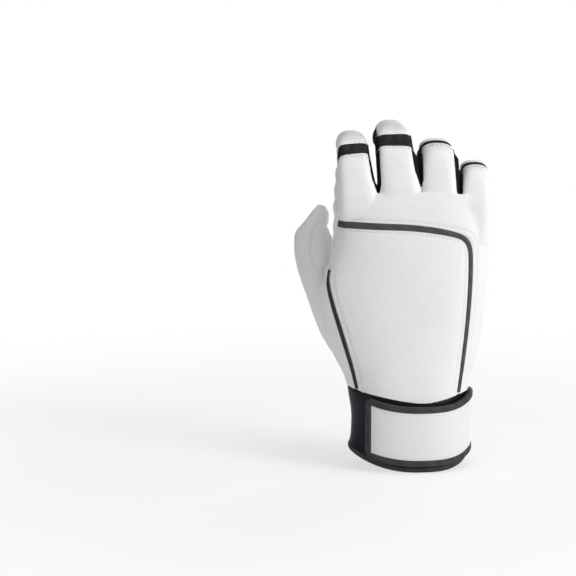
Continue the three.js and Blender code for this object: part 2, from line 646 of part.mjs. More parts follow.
function addStrap() {
  const [from, to] = [STRAP.end, SLIT_AT - slitHalf - STEP_CLEAR];
  const low = (inset) => above(strapLow, inset);
  const high = (inset) => above(strapLow, STRAP.height - inset);
  const turn = (length) => (length / CUFF.halfWidth) * THREE.MathUtils.RAD2DEG;
  const layer = (offsets, inset, shift) =>
    cuffBand(from + turn(inset), to - turn(inset), offsets, low(inset), high(inset), shift);
  const halfStep = 0.5;
  const opening = layer([LAYER.border[0] - GAP, LAYER.border[1] + GAP], STRAP.border, halfStep);
  const border = layer(LAYER.border, 0).subtract(opening);
  addPiece('strap_binding', border, BINDING_TAPE);
  addPiece('strap_backing', layer(LAYER.backing, STRAP.border + 2 * GAP), NEOPRENE);
  addPiece('strap_face', layer(LAYER.face, STRAP.border + 2 * GAP), STRAP_FACE);
  const hooks = cuffBand(PATCH.from, PATCH.to, LAYER.hook, low(PATCH.inset), high(PATCH.inset));
  addPiece('hook_patch', hooks, FASTENER);
}

addHandLeather();
addPiping();
FINGERS.forEach(addFinger);
addThumb();
addCuff();
addStrap();

// The origin is under the middle of the whole glove, where it stands.
const extent = new THREE.Box3().setFromObject(glove);
const middle = extent.getCenter(new THREE.Vector3());
glove.position.set(-middle.x, -middle.y, -extent.min.z);

export default glove;
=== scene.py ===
"""Dresses a packed batting glove in leather, stretch fabric, neoprene, tape and thread.

Shapes are worked out in millimetres in the glove's own frame: +Z from the cuff to the fingertips,
-Y the back of the hand, +Y the palm, +X the little finger's side. Meshes are placed in metres.
"""

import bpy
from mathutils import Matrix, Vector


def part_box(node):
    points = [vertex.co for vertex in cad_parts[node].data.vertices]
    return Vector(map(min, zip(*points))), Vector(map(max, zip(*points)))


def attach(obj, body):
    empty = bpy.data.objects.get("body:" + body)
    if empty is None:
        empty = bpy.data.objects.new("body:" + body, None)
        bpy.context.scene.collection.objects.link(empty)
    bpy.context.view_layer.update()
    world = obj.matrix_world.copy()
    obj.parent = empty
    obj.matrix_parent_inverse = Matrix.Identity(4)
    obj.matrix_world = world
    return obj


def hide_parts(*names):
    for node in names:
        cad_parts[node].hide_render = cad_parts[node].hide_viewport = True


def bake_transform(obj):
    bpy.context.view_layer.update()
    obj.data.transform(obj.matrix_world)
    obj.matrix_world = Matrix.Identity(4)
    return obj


bl_info = {
    "name": "Batting Glove",
    "version": (1, 0, 0),
    "blender": (4, 5, 0),
    "location": "View3D > Sidebar > Glove",
    "description": "Builds the leather, fabric, cuff, strap and studio of a batting glove over its frame",
    "category": "Object",
}

import math

import bpy
import numpy as np
from mathutils import Vector
from mathutils.bvhtree import BVHTree
from mathutils.kdtree import KDTree

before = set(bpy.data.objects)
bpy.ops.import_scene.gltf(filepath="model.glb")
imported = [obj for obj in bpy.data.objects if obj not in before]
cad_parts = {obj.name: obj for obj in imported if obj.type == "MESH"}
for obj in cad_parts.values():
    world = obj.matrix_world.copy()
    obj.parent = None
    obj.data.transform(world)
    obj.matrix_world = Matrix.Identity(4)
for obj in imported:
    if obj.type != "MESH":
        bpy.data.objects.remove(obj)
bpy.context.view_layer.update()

MM = 0.001
FAR = 300.0
TINY = 1e-12
BLOCK = 20000  # points that are looked up together
ON_CUT = 1e-5  # a point this near a cut is taken as above it
LOFT_MERGE, SKIN_MERGE = 2e-6, 6e-5  # metres between points that become one

# How finely the forms are drawn: points round them, rings along them and rings round their ends
HAND_RINGS = {"around": 120, "along": 70, "end": 5}
FINGER_RINGS = {"around": 96, "along": 60, "end": 14}
THUMB_RINGS = {"around": 64, "along": 60, "end": 14}
CURVE_STEPS = {"spline": 24, "thumb": 60, "thumb_line": 240}
TILT_ROUNDS = 3

# In the values below, a pair such as (4, 16) is where a change starts or ends and over how far it runs.

# Sections of the hand: height, left, right, back, front, and how far it tilts up at the back
HAND_SECTIONS = np.array(
    [
        (28, -36, 34, -26, 26, 0),
        (50, -37, 36, -25.5, 26, 0),
        (66, -43, 40.5, -24, 26, 0),
        (84, -47, 44, -22.5, 25, 0.05),
        (104, -48, 46.5, -20.5, 22.5, 0.15),
        (122, -46.5, 47.5, -17.8, 19.5, 0.35),
        (140, -44.8, 48, -13.4, 17.5, 0.6),
        (153, -44, 47.8, -8.4, 16.2, 0.78),
    ]
)
HAND_SQUARENESS = 2.5
HAND_TILT_AT = 2
HAND_CAP = 2.5
HAND_CAP_SPREAD = 0.12  # how much further out, as a share, the top of the cap counts
FORM_SMOOTHING = {"factor": 0.5, "iterations": 6}
# Where the hand, the fingers and the thumb meet, their form is softened
MEETING = {"reach": 0.16, "least": 0.05, "factor": 0.5, "iterations": 45}

# Fingers: middle line and half widths at root, middle knuckle and tip; lengths between the joints
KNUCKLE_Y, KNUCKLE_Z = 1, 140
ROOT_ALONG = 10
ROOT_DEPTH = 13
ROOT_TAPER = 0.75
MIDDLE_BEND_SPAN = 24
LAST_BEND_SPAN = 14
FINGERS = (
    {
        "name": "index",
        "x": (-31.45, -34.2, -35.6),
        "half": (11.95, 9.5, 8.2),
        "lengths": (42, 26, 24),
        "bends": (8, 75, 16),
        "lead": 0,
        "depth": (9.8, 8.2),
        "taper": 20,
        "flat_to": 42,
        "band_low": -3.6,
        "slant": 1.15,
        "rim": 0.35,
        "plain": -1,
    },
    {
        "name": "middle",
        "x": (-6.6, -9.6, -12),
        "half": (12.7, 10.9, 9),
        "lengths": (47.5, 29, 25),
        "bends": (9, 74, 17),
        "lead": 0,
        "depth": (10.4, 8.8),
        "taper": 24,
        "flat_to": 47,
        "band_low": -4.75,
        "slant": 0.5,
        "rim": 0.35,
        "plain": 0,
    },
    {
        "name": "ring",
        "x": (17.6, 16, 15),
        "half": (11.3, 10.9, 9),
        "lengths": (46, 26, 25),
        "bends": (12, 84, 20),
        "lead": 5,
        "depth": (10.4, 8.8),
        "taper": 18,
        "flat_to": 26,
        "band_low": -1.6,
        "slant": 0,
        "rim": 0.9,
        "plain": 0,
    },
    {
        "name": "pinky",
        "x": (38.3, 39.1, 37.8),
        "half": (9.5, 8.9, 7.8),
        "lengths": (34, 19, 21),
        "bends": (14, 86, 20),
        "lead": 4.2,
        "depth": (9.3, 7.8),
        "taper": 12,
        "flat_to": 14,
        "band_low": -1.6,
        "slant": 0,
        "rim": 0.9,
        "plain": 1,
    },
)
FINGER_SQUARENESS = {"flat": 4.6, "round": 2.6, "over": 18}
FINGER_FAR = 1.6  # how far off, in half widths, a point no longer belongs to a finger
FLEX_BAND = 9.5
BAND_SHAPE = {"edge": 1.2, "sunk": 0.35}
BAND_RIM = {"past": 2.2, "wide": 2.4}  # where the leather stands up past a band
BAND_STITCH = 1.4  # from a band's edge to its stitches
FINGER_BACK = (-150, -30, 40)  # angles across a finger's back, and points between them
# The gusset is a strip round a fingertip, and the whole facing side of a finger below its bend
GUSSET_HALF = 4.8
GUSSET_ASIDE = {"back": 0.9, "palm": 0.86}  # share of the half width where it starts, on each face
# How it ends at the plain outer sides, at a slit's foot, at the bend and on the palm
GUSSET_ENDS = {
    "facing": (0.8, 0.6),
    "inner": 1.5,
    "floor": (-3, 9),
    "bend": (2, 12),
    "palm": (-10, 10),
    "sunk": 0.02,
    "root": 2,
}
PLAIN_SEAM = 1.5
FINGER_SEAM = {"from": (4, 16), "near": 1.5}  # where the side seam becomes the finger's plain seam
# Depth of the seam between palm and back, and how much nearer the palm it runs at the wrist and the fingers
SIDE_SEAM = {
    "depth": 6,
    "wrist": 9.5,
    "wrist_to": (44, 50),
    "over": 20,
    "fingers": 3.5,
    "fingers_from": (138, 57),
}
SLIT_FLOOR = ((-9, 158.5), (15, 143))  # depth and height at the back and at the palm
SLIT_RISE = (2.7, 8, -1.5)  # how much higher each slit ends, from the index finger on
SLIT_POINT = {"slope": 2.5, "most": 6}  # how steeply a slit narrows to its foot
SLIT_OPEN = (168, FAR, FAR)  # the height from which a slit stands open
SLIT_FILL = {"share": 0.94, "edge": 1.6, "over": 6, "lowest": 18}  # how nearly a closed slit is filled
SLIT_TOP = 44  # how far along the fingers the slits run
PALM_SLIT = {
    "lowest": 4,
    "foot": 144,
    "half": 2.4,
    "over": 12,
    "close": 162,
    "closed_over": 14,
    "sunk": 0.05,
    "deep": 3.6,
    "edge": 1.4,
    "palm": (3, 6),
}

# Thumb: a bent tube from inside the heel of the hand to its tip
THUMB_PATH = np.array(
    [(-22, 6, 58), (-37, 13, 84), (-49, 22, 110), (-58, 29, 131), (-53.9, 32.5, 150.5)], float
)
THUMB_HALF = (16, 15.8, 15.5, 14.1, 12.6, 11.9, 11, 7.9, 4.8)
THUMB_HINGE = 0.72
THUMB_PAD = np.array((0.75, 0.66, 0))
THUMB_BLEND = 6
THUMB_SEAM = {"deeper": 1, "from": (-40, 8)}  # where the side seam becomes the thumb's
THUMB_WEB = {"from": (-49, 4, 103), "over": (4, 6, 6)}  # where the palm's side of the crotch begins
# How far from its middle line, in half widths, the leather is the thumb's, and further where it swells
THUMB_REACH = {
    "near": 1.27,
    "swollen": 1.7,
    "radius": 15,
    "outer": -55,
    "inner": -46.5,
    "above": 126,
    "over": 3,
}
THUMB_ON = {"near": (1.5, 0.3), "from": (112, 8)}  # where the thumb above its base is shaped
THUMB_EDGE = {"tip": (-54.7, 150.7), "corner": (-68.7, 132.1), "round": 6, "proud": 1.6, "flatten": 0.85}
# How far the thumb's outer side swells at its base, and its inner side near its tip, by height
THUMB_SWELL = {
    "base": ((40, 0.5), (60, 3), (88, 4.9), (108, 5), (121, 2.4), (132, 0.3), (140, 0), (160, 0)),
    "inner": ((112, 0), (124, 0.6), (136, 1.2), (144, 1.8), (150, 1.5), (156, 0.6), (162, 0)),
}
THUMB_FACING = {"base": (-20, 20), "side": 0.7, "back": (0.75, 0.5)}  # where it swells, and facing which way
# The oval over the thumb's joint: its place, its swell, the fold round it and the crease on its outer side
THUMB_OVAL = {"x": -52.6, "z": 126.8, "half": 6.6, "tall": 12.6}
THUMB_KNUCKLE = {"rise": 1.7, "over": 0.75}
THUMB_FOLD = {"deep": 0.8, "at": 1.06, "wide": 0.1}
OVAL_CREASE = {"deep": 0.7, "wide": 0.9, "from": (124, 5), "to": (141, 5)}
JOINT_PAD = {"near": 1.3, "base": 0.4, "rise": 0.9, "edge": 2.4}
JOINT_WRINKLE = {"deep": 0.55, "at": 0.66, "wide": 0.07, "below": 0.5, "over": 5}

# Lines on the back and on the palm, as places across and up the hand
KNUCKLE_PIPING = (
    (-52, 144.3),
    (-43, 143.7),
    (-18, 142.9),
    (0, 142.3),
    (16, 140.4),
    (27, 138),
    (32, 136.2),
    (34.6, 132.6),
    (35.2, 124),
    (34.9, 106),
    (33.1, 82),
    (30.4, 58),
    (27.5, 36),
)
THUMB_PIPING = ((-48.6, 116.3), (-49.5, 109), (-46.9, 97), (-40.9, 77.5), (-34.9, 57.5), (-30.4, 38))
HEEL_SEAM = (
    (60, 123),
    (40, 123.5),
    (28, 122.5),
    (18.5, 118),
    (9, 112),
    (4, 105.5),
    (0, 94),
    (-5.5, 79),
    (-11, 67),
    (-13.7, 55),
    (-15, 30),
)

# Corners of the panels below the cuff's edge and above the thumb
PANEL_FOOT = {"height": 20, "thumb": -28, "little": 27.5}
THUMB_SIDE = {"top": 160, "scale": 30, "from": (108, 9)}

PUFF_REACH = 5  # how far from a seam a panel has swollen
PIPING_END = -43.4  # the knuckle piping's end beside the index finger
PIPING_FOOT = 0.5  # from the leather's lower edge to the piping
PIPING_STITCH = 3.5  # from the piping's middle to the stitches beside it
STITCH_FOOT = 46  # height from which the piping is stitched
STITCH_BOW = {"out": 0.10, "sunk": 0.05, "flat": 0.9}
DEEPEST = 13  # how far towards the palm a line on the back may lie
SEAM_FIN = {
    "path": (
        (-42.5, 7, 176),
        (-43.8, 6, 160),
        (-44.5, 5.5, 145),
        (-45.3, 6, 132),
        (-46, 8, 124),
        (-46.8, 11, 119),
    ),
    "rise": 2,
    "thick": 0.9,
    "ends": 0.3,
    "ripple": (0.2, 34),
    "waver": (0.5, 41),
}
# Grey cords laid in the palm's seams: partly the seam's thread, partly painted shade of the seam's groove
SEAM_THREAD_AND_SHADE = {"wide": 0.75, "rise": 0.12}
HEEL_THREAD_AND_SHADE = {"end": 45.5, "foot": 1.5}
SIDE_THREAD_AND_SHADE = (48, 170)

# Worn leather: soft waves, folds on the fingers' fronts and across the palm, and dents under the stitches
WAVE = {"lift": 0.18, "from": (48, 14), "across": (9, 1.3, 17), "upward": (13, 0.8, 11, 15)}
FINGER_FRONT = {"from": (2, 4), "near": 1.3}
FOLD_WIDE = 1.3
# Folds of a finger: at which joint, how far past it and how deep
FINGER_FOLDS = ((1, -14, 0.25), (1, -4, 0.4), (1, 4, 0.4), (2, 0, 0.45))
PALM_FOLD = {"deep": 1.3, "height": 137.5, "lean": 0.04, "wide": 3.2, "palm": (8, 6), "end": (-40, 12)}
STITCH_DENT = {"deep": 0.3, "wide": 0.7, "back": (0.2, 0.4)}

# Cuff and strap
CUFF = {"middle": -1, "half_width": 35, "half_depth": 26, "thick": 2.2, "squareness": 2.2}
LEATHER_EDGE = {
    "low": 38.6,
    "back_at": 8,
    "palm_at": -6,
    "between": (-8, 16),
    "thumb": 7.2,
    "little": 5.4,
    "round": 0.22,
    "most": 1.2,
}
HEM = {"base": -3.5, "height": 3.6, "proud": 0.7, "points": 200}
# How far the hem rises from its lowest place to the thumb side and to the little finger's side
HEM_RISE = {
    "low_at": 6,
    "thumb": 10,
    "little": 5.8,
    "thumb_curve": 2.2,
    "little_curve": 4,
    "palm_curve": 2.4,
}
# The tape folded over the cuff's edges, and how much further out it lies where it passes over the leather
EDGE_TAPE = {"step": 0.8, "out": 0.2, "over_leather": 1.7, "leather_from": (-1, 2.5)}
# How the cuff's wall stands off its base line: tucked under the leather, flared at the hem
CUFF_WALL = {"below": 1.5, "above": 2.2, "grid": (240, 34)}
CUFF_TUCK = {"in": 1.6, "from": (0.92, 0.08)}
CUFF_FLARE = {"out": 0.7, "to": (0.16, 0.16), "in": 0.9}
CUFF_WAIST = {"out": 1.5, "from": (0.45, 0.5), "in": 0.6, "thumb_side": (0.3, 0.6)}
SLIT_AT, SLIT_WIDTH = 35, 2.4  # angle round the wrist, and width
SLIT_CORNER = 13  # radius of the cuff's corner beside the slit
SLIT_TAPE = {"wide": 2.4, "above": 3, "foot": 1.8, "beside": 1, "points": 30, "arch": 13, "corner": 15}
STRAP = {"end": -131.5, "low": 4, "height": 36.4, "border": 4, "corner": 4.2, "lean": 0.6}
STRAP_LEAN = {"over": 16, "from": (-45, 50)}  # where the strap's upper edge leans out
STRAP_LINE = 2.2  # from the cuff's base line to the middle of the strap
STRAP_STEPS = {"length": 400, "corner": 9, "border": 1.2}
STRAP_FACE = {"inset": 1.2, "at": 3.0, "swell": 0.45, "edge": 3.5, "thick": 0.6, "grid": (160, 40)}
STRAP_BACKING = {"inset": 1.5, "at": 2.4, "thick": 0.7, "grid": (120, 24)}
STRAP_BORDER = {"thick": 3.3, "around": 28, "squareness": 3.6}
BORDER_GROOVE = {"deep": 0.5, "at": 0.3, "wide": 0.12}
PATCH = {"from": -118, "to": -62, "inset": 7, "loops_at": 0.75, "hooks_at": 1.35, "thick": 0.45}
# Ragged pile: its height, and two waves by the angle round the wrist and by the row
PILE = {"rough": 0.16, "round": (7, 2.1), "up": (3, 1.7), "smooth_below": 80, "grid": (150, 60)}

hem_low, hem_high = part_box("hem_binding")
GLOVE_ORIGIN = np.array(
    (
        (hem_low.x + hem_high.x) / 2 / MM - CUFF["middle"],
        (hem_low.y + hem_high.y) / 2 / MM,
        hem_low.z / MM - HEM["base"],
    )
)


def length_of(name, description, metres):
    """A size that a user can change."""
    return bpy.props.FloatProperty(name=name, description=description, default=metres, unit="LENGTH")


class GloveSizes(bpy.types.PropertyGroup):
    """Sizes of the glove's make-up"""

    leather: length_of("Leather", "Thickness of the leather", 0.0009)
    fineness: length_of("Fineness", "Spacing of the points on the leather", 0.0007)
    seam_dip: length_of("Seam dip", "Depth of the groove at a sewn edge", 0.00055)
    seam_width: length_of("Seam width", "Width of the groove at a sewn edge", 0.0011)
    puff: length_of("Puff", "How far a panel swells between its seams", 0.0003)
    piping_rise: length_of("Piping rise", "How far the piping stands proud", 0.0008)
    rib_rise: length_of("Rib rise", "Height of the ribs in the stretch bands", 0.00035)
    rib_pitch: length_of("Rib pitch", "Spacing of the ribs in the stretch bands", 0.0024)
    stitch: length_of("Stitch", "Length of one stitch", 0.0017)
    stitch_pitch: length_of("Stitch pitch", "From one stitch to the next", 0.0024)
    thread: length_of("Thread", "Thickness of the thread", 0.00042)


def from_hex(text):
    """An sRGB hex colour as linear red, green, blue and alpha."""
    parts = [int(text[k : k + 2], 16) / 255 for k in (0, 2, 4)]
    return tuple(c / 12.92 if c <= 0.04045 else ((c + 0.055) / 1.055) ** 2.4 for c in parts) + (1.0,)


def colour(name, text):
    """A colour that a user can change."""
    return bpy.props.FloatVectorProperty(
        name=name,
        description="Colour of the " + name.lower(),
        default=from_hex(text),
        size=4,
        min=0,
        max=1,
        subtype="COLOR",
    )


class GloveColours(bpy.types.PropertyGroup):
    """Colours of the glove's materials"""

    leather: colour("White leather", "ECECEA")
    band: colour("Stretch band", "2B2C2E")
    gusset: colour("Gusset", "141517")
    piping: colour("Piping", "47484B")
    neoprene: colour("Neoprene", "070B17")
    binding: colour("Binding", "3A3B3D")
    strap: colour("Strap face", "E6E6E6")
    fastener: colour("Hook and loop", "111113")
    lining: colour("Lining", "0C0C0D")
    thread: colour("Thread", "C4C5C5")
    floor: colour("Floor", "F4F4F3")


# Small helpers for numbers and curves


def smooth(t):
    t = np.clip(t, 0, 1)
    return t * t * (3 - 2 * t)


def ramp(value, start, over):
    """From nought to one, from a start on."""
    return smooth((value - start) / over)


def fade(value, end, over):
    """From one to nought, up to an end."""
    return smooth((end - value) / over)


def bell(value, width):
    """One at nought, falling away on both sides."""
    return np.exp(-((value / width) ** 2))


def mix(a, b, t):
    return a + (b - a) * t


def signed_power(value, squareness):
    return np.sign(value) * np.abs(value) ** (2 / squareness)


def cubic(a, b, leave, reach, t):
    """A smooth piece of a line from a to b, with its slopes at both ends."""
    square = -3 * a + 3 * b - 2 * leave - reach
    cube = 2 * a - 2 * b + leave + reach
    return a + t * (leave + t * (square + t * cube))


def through(xs, ys, x):
    """A smooth line through points, by cubic pieces."""
    slopes = np.gradient(ys, xs)
    x = np.clip(x, xs[0], xs[-1])
    k = np.clip(np.searchsorted(xs, x) - 1, 0, len(xs) - 2)
    span = xs[k + 1] - xs[k]
    return cubic(ys[k], ys[k + 1], slopes[k] * span, slopes[k + 1] * span, (x - xs[k]) / span)


def run_of(points):
    """How far along a line each of its points is."""
    return np.concatenate([[0], np.cumsum(np.linalg.norm(np.diff(points, axis=0), axis=1))])


def spread(points, count):
    """The same line with its points evenly apart."""
    run = run_of(points)
    marks = np.linspace(0, run[-1], count)
    return np.stack([np.interp(marks, run, points[:, k]) for k in range(points.shape[1])], axis=1)


def evenly(points, step):
    """The same line with its points a step apart."""
    points = np.asarray(points, float)
    return spread(points, max(2, int(round(run_of(points)[-1] / step)) + 1))


def spline(points, step=1.0):
    """A smooth line through points, with its own points a step apart."""
    points = np.asarray(points, float)
    marks = np.arange(len(points), dtype=float)
    fine = np.linspace(0, len(points) - 1, CURVE_STEPS["spline"] * (len(points) - 1) + 1)
    return evenly(np.stack([through(marks, c, fine) for c in points.T], axis=1), step)


def unit(vectors):
    return vectors / np.maximum(np.linalg.norm(vectors, axis=-1, keepdims=True), TINY)


# Hand, finger and thumb as lofted forms


def hand_section(height):
    """Left, right, back, front and tilt of the hand at a height."""
    return [through(HAND_SECTIONS[:, 0], column, height) for column in HAND_SECTIONS.T[1:]]


def hand_ring(height, grow):
    left, right, back, front, tilt = hand_section(height)
    angle = np.linspace(0, 2 * np.pi, HAND_RINGS["around"], endpoint=False)
    across = signed_power(np.sin(angle), HAND_SQUARENESS)
    y = across * (np.where(across < 0, -back, front) + grow)
    x = (left + right) / 2 + ((right - left) / 2 + grow) * signed_power(np.cos(angle), HAND_SQUARENESS)
    return np.stack([x, y, height - tilt * (y - HAND_TILT_AT)], axis=1)


def hand_rings():
    low, top = HAND_SECTIONS[0, 0], HAND_SECTIONS[-1, 0]
    rings = [hand_ring(height, 0) for height in np.linspace(low, top, HAND_RINGS["along"])]
    for turn in np.linspace(0, np.pi / 2, HAND_RINGS["end"])[1:]:
        ring = hand_ring(top, -HAND_CAP * (1 - math.cos(turn)))
        ring[:, 2] += HAND_CAP * math.sin(turn)
        rings.append(ring)
    return rings


def finger_length(finger):
    return sum(finger["lengths"])


def bend_at(finger, along):
    knuckle, middle, last = np.radians(finger["bends"])
    first, second, _ = finger["lengths"]
    at_middle = smooth((along - first + finger["lead"]) / MIDDLE_BEND_SPAN + 0.5)
    at_last = smooth((along - first - second) / LAST_BEND_SPAN + 0.5)
    return knuckle + middle * at_middle + last * at_last


def finger_line(finger, step=0.5, past=12):
    """The finger's middle line with its directions and half sizes, from inside the hand to past the tip."""
    length = finger_length(finger)
    along = np.arange(-ROOT_ALONG, length + past + step, step)
    between = bend_at(finger, along[:-1] + step / 2)
    y = np.concatenate([[0], np.cumsum(np.sin(between) * step)])
    z = np.concatenate([[0], np.cumsum(np.cos(between) * step)])
    start = int(round(ROOT_ALONG / step))
    bend = bend_at(finger, along)
    first = finger["lengths"][0]
    to_knuckle = np.clip((along - finger["taper"]) / (first - finger["taper"]), 0, 1)
    to_tip = np.clip((along - first) / (length - first), 0, 1)
    x = mix(mix(finger["x"][0], finger["x"][1], to_knuckle), finger["x"][2], to_tip)
    half = mix(mix(finger["half"][0], finger["half"][1], to_knuckle), finger["half"][2], to_tip)
    depth = mix(mix(ROOT_DEPTH, finger["depth"][0], to_knuckle), finger["depth"][1], to_tip)
    nought = np.zeros_like(along)
    return {
        "along": along,
        "at": np.stack([x, y - y[start] + KNUCKLE_Y, z - z[start] + KNUCKLE_Z], axis=1),
        "ahead": np.stack([nought, np.sin(bend), np.cos(bend)], axis=1),
        "palm": np.stack([nought, np.cos(bend), -np.sin(bend)], axis=1),
        "half": half,
        "depth": depth,
    }


LINES = [finger_line(finger) for finger in FINGERS]


def at_along(line, along):
    """One place on a finger's line."""
    k = int(np.argmin(np.abs(line["along"] - along)))
    return {key: value[k] for key, value in line.items()}


def fold_of(index):
    """Where a finger folds: the crease on its palm side and the way ahead there."""
    spot = at_along(LINES[index], FINGERS[index]["lengths"][0])
    return spot["at"] + spot["palm"] * spot["depth"], spot["ahead"]


FOLDS = [fold_of(index) for index in range(len(FINGERS))]
SIDE = np.array((1.0, 0, 0))


def tube_ring(spot, side, half, depth, around, squareness=2):
    angle = np.linspace(0, 2 * np.pi, around, endpoint=False)[:, None]
    across = signed_power(np.cos(angle), squareness)
    out = signed_power(np.sin(angle), squareness)
    return spot["at"] + side * half * across + spot["palm"] * depth * out


def squareness_at(finger, along):
    """A finger is flat-sided as far as its bend, and rounder past it."""
    past = smooth((along - finger["flat_to"]) / FINGER_SQUARENESS["over"])
    return mix(FINGER_SQUARENESS["flat"], FINGER_SQUARENESS["round"], past)


def finger_rings(index):
    finger, line, around = FINGERS[index], LINES[index], FINGER_RINGS["around"]
    end, tip = finger_length(finger), finger["depth"][1]
    rings = []
    for along in np.linspace(-ROOT_ALONG, end - tip, FINGER_RINGS["along"]):
        spot = at_along(line, along)
        slim = mix(ROOT_TAPER, 1, np.clip((along + ROOT_ALONG) / (2 * ROOT_ALONG), 0, 1))
        half, depth = spot["half"] * slim, spot["depth"] * slim
        rings.append(tube_ring(spot, SIDE, half, depth, around, squareness_at(finger, spot["along"])))
    for turn in np.linspace(0, np.pi / 2, FINGER_RINGS["end"])[1:-1]:
        spot = at_along(line, end - tip * (1 - math.sin(turn)))
        half, depth = spot["half"] * math.cos(turn), spot["depth"] * math.cos(turn)
        rings.append(tube_ring(spot, SIDE, half, depth, around, squareness_at(finger, spot["along"])))
    return rings


def slit_middle(index, along):
    """The middle of the slit between a finger and the next one."""
    left, right = (at_along(LINES[k], along) for k in (index, index + 1))
    return (left["at"][0] + left["half"] + right["at"][0] - right["half"]) / 2


def slit_line(index, height, lowest):
    """The middle of a slit at some heights."""
    steps = np.arange(lowest, SLIT_TOP + 1, 2.0)
    return np.interp(height - KNUCKLE_Z, steps, [slit_middle(index, along) for along in steps])


def thumb_curve():
    """A line through the thumb's points, drawn tighter where they are close together."""
    first = 2 * THUMB_PATH[0] - THUMB_PATH[1]
    last = 2 * THUMB_PATH[-1] - THUMB_PATH[-2]
    path = np.vstack([first, THUMB_PATH, last])
    t = np.linspace(0, 1, CURVE_STEPS["thumb"], endpoint=False)[:, None]
    drawn = []
    for k in range(1, len(path) - 2):
        a, b, c, d = path[k - 1 : k + 3]
        before, here, after = (math.sqrt(np.linalg.norm(q - p)) for p, q in ((a, b), (b, c), (c, d)))
        leave = here * ((b - a) / before - (c - a) / (before + here) + (c - b) / here)
        reach = here * ((c - b) / here - (d - b) / (here + after) + (d - c) / after)
        drawn.append(cubic(b, c, leave, reach, t))
    return spread(np.vstack([*drawn, THUMB_PATH[-1:]]), CURVE_STEPS["thumb_line"])


def thumb_line():
    at = thumb_curve()
    ahead = unit(np.gradient(at, axis=0))
    palm = unit(THUMB_PAD - ahead * (ahead @ THUMB_PAD)[:, None])
    share = np.linspace(0, 1, len(at))
    half = np.interp(share * (len(THUMB_HALF) - 1), np.arange(len(THUMB_HALF)), THUMB_HALF)
    return {"along": share, "at": at, "ahead": ahead, "palm": palm, "half": half}


THUMB = thumb_line()
THUMB_LENGTH = float(np.linalg.norm(np.diff(THUMB["at"], axis=0), axis=1).sum())
THUMB_SPOT = at_along(THUMB, THUMB_HINGE)
THUMB_CREASE = THUMB_SPOT["at"] + THUMB_SPOT["palm"] * THUMB_SPOT["half"]


def thumb_rings():
    tip, around = THUMB_HALF[-1] / THUMB_LENGTH, THUMB_RINGS["around"]
    rings = []
    for share in np.linspace(0, 1 - tip, THUMB_RINGS["along"]):
        spot = at_along(THUMB, share)
        side = np.cross(spot["palm"], spot["ahead"])
        rings.append(tube_ring(spot, side, spot["half"], spot["half"], around))
    for turn in np.linspace(0, np.pi / 2, THUMB_RINGS["end"])[1:-1]:
        spot = at_along(THUMB, 1 - tip * (1 - math.sin(turn)))
        side = np.cross(spot["palm"], spot["ahead"])
        radius = spot["half"] * math.cos(turn)
        rings.append(tube_ring(spot, side, radius, radius, around))
    return rings


# Meshes


def place(points):
    """From the glove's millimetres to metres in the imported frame."""
    return (np.asarray(points, float) + GLOVE_ORIGIN) * MM


def select_only(*objects):
    if bpy.context.object and bpy.context.object.mode != "OBJECT":
        bpy.ops.object.mode_set(mode="OBJECT")
    bpy.ops.object.select_all(action="DESELECT")
    for each in objects:
        each.select_set(True)
    bpy.context.view_layer.objects.active = objects[0]


def grid_piece(name, rows):
    """A sheet through rows of points: a row runs to the right seen from outside, and the rows upwards."""
    rows = np.asarray(rows, float)
    up, across = rows.shape[:2]
    bpy.ops.object.select_all(action="DESELECT")
    bpy.ops.mesh.primitive_grid_add(x_subdivisions=across - 1, y_subdivisions=up - 1)
    sheet = bpy.context.object
    sheet.name = sheet.data.name = name
    sheet.data.vertices.foreach_set("co", place(rows.reshape(-1, 3)).ravel())
    sheet.data.update()
    return sheet


def loft_piece(name, rings):
    """A closed form through rings of points."""
    rings = [np.vstack([ring, ring[:1]]) for ring in rings]
    rings.insert(0, np.repeat(rings[0][:-1].mean(axis=0)[None], len(rings[0]), axis=0))
    rings.append(np.repeat(rings[-1][:-1].mean(axis=0)[None], len(rings[-1]), axis=0))
    form = grid_piece(name, rings)
    bpy.ops.object.mode_set(mode="EDIT")
    bpy.ops.mesh.select_all(action="SELECT")
    bpy.ops.mesh.remove_doubles(threshold=LOFT_MERGE)
    bpy.ops.mesh.normals_make_consistent(inside=False)
    bpy.ops.object.mode_set(mode="OBJECT")
    return form


def skin_piece(name, skin):
    """A panel from a skin of triangles."""
    mesh = bpy.data.meshes.new(name)
    mesh.from_pydata(place(skin["points"]).tolist(), [], skin["faces"].tolist())
    panel = bpy.data.objects.new(name, mesh)
    bpy.context.scene.collection.objects.link(panel)
    select_only(panel)
    bpy.ops.object.mode_set(mode="EDIT")
    bpy.ops.mesh.select_all(action="SELECT")
    bpy.ops.mesh.remove_doubles(threshold=SKIN_MERGE)
    bpy.ops.object.mode_set(mode="OBJECT")
    return panel


def modifier(piece, kind, **settings):
    """Adds a modifier with its settings and applies it."""
    select_only(piece)
    bpy.ops.object.modifier_add(type=kind)
    added = piece.modifiers[-1]
    for key, value in settings.items():
        setattr(added, key, value)
    bpy.ops.object.modifier_apply(modifier=added.name)


def thicken(piece, thickness, outer, inner=None):
    """Gives a sheet its material and its thickness, inwards, with its lining on the inside."""
    for material in (outer, inner):
        if material:
            piece.data.materials.append(MATERIALS[material])
    modifier(
        piece,
        "SOLIDIFY",
        thickness=thickness,
        offset=-1,
        use_even_offset=False,
        material_offset=1 if inner else 0,
    )


def finish(piece, material, nodes=(), angle=60, body=None, bend=None):
    """Shading, finish and place in the frame. A bend is two bodies with its start and end; a piece given a
    bend is only baked in place, and the bend's bodies and ends are not used.
    """
    if not piece.data.materials:
        piece.data.materials.append(MATERIALS[material])
    select_only(piece)
    bpy.ops.object.shade_smooth_by_angle(angle=math.radians(angle))
    if bend:
        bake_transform(piece)
    else:
        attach(piece, body)
    if nodes:
        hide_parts(*nodes)


# Skins of triangles with facts about each point


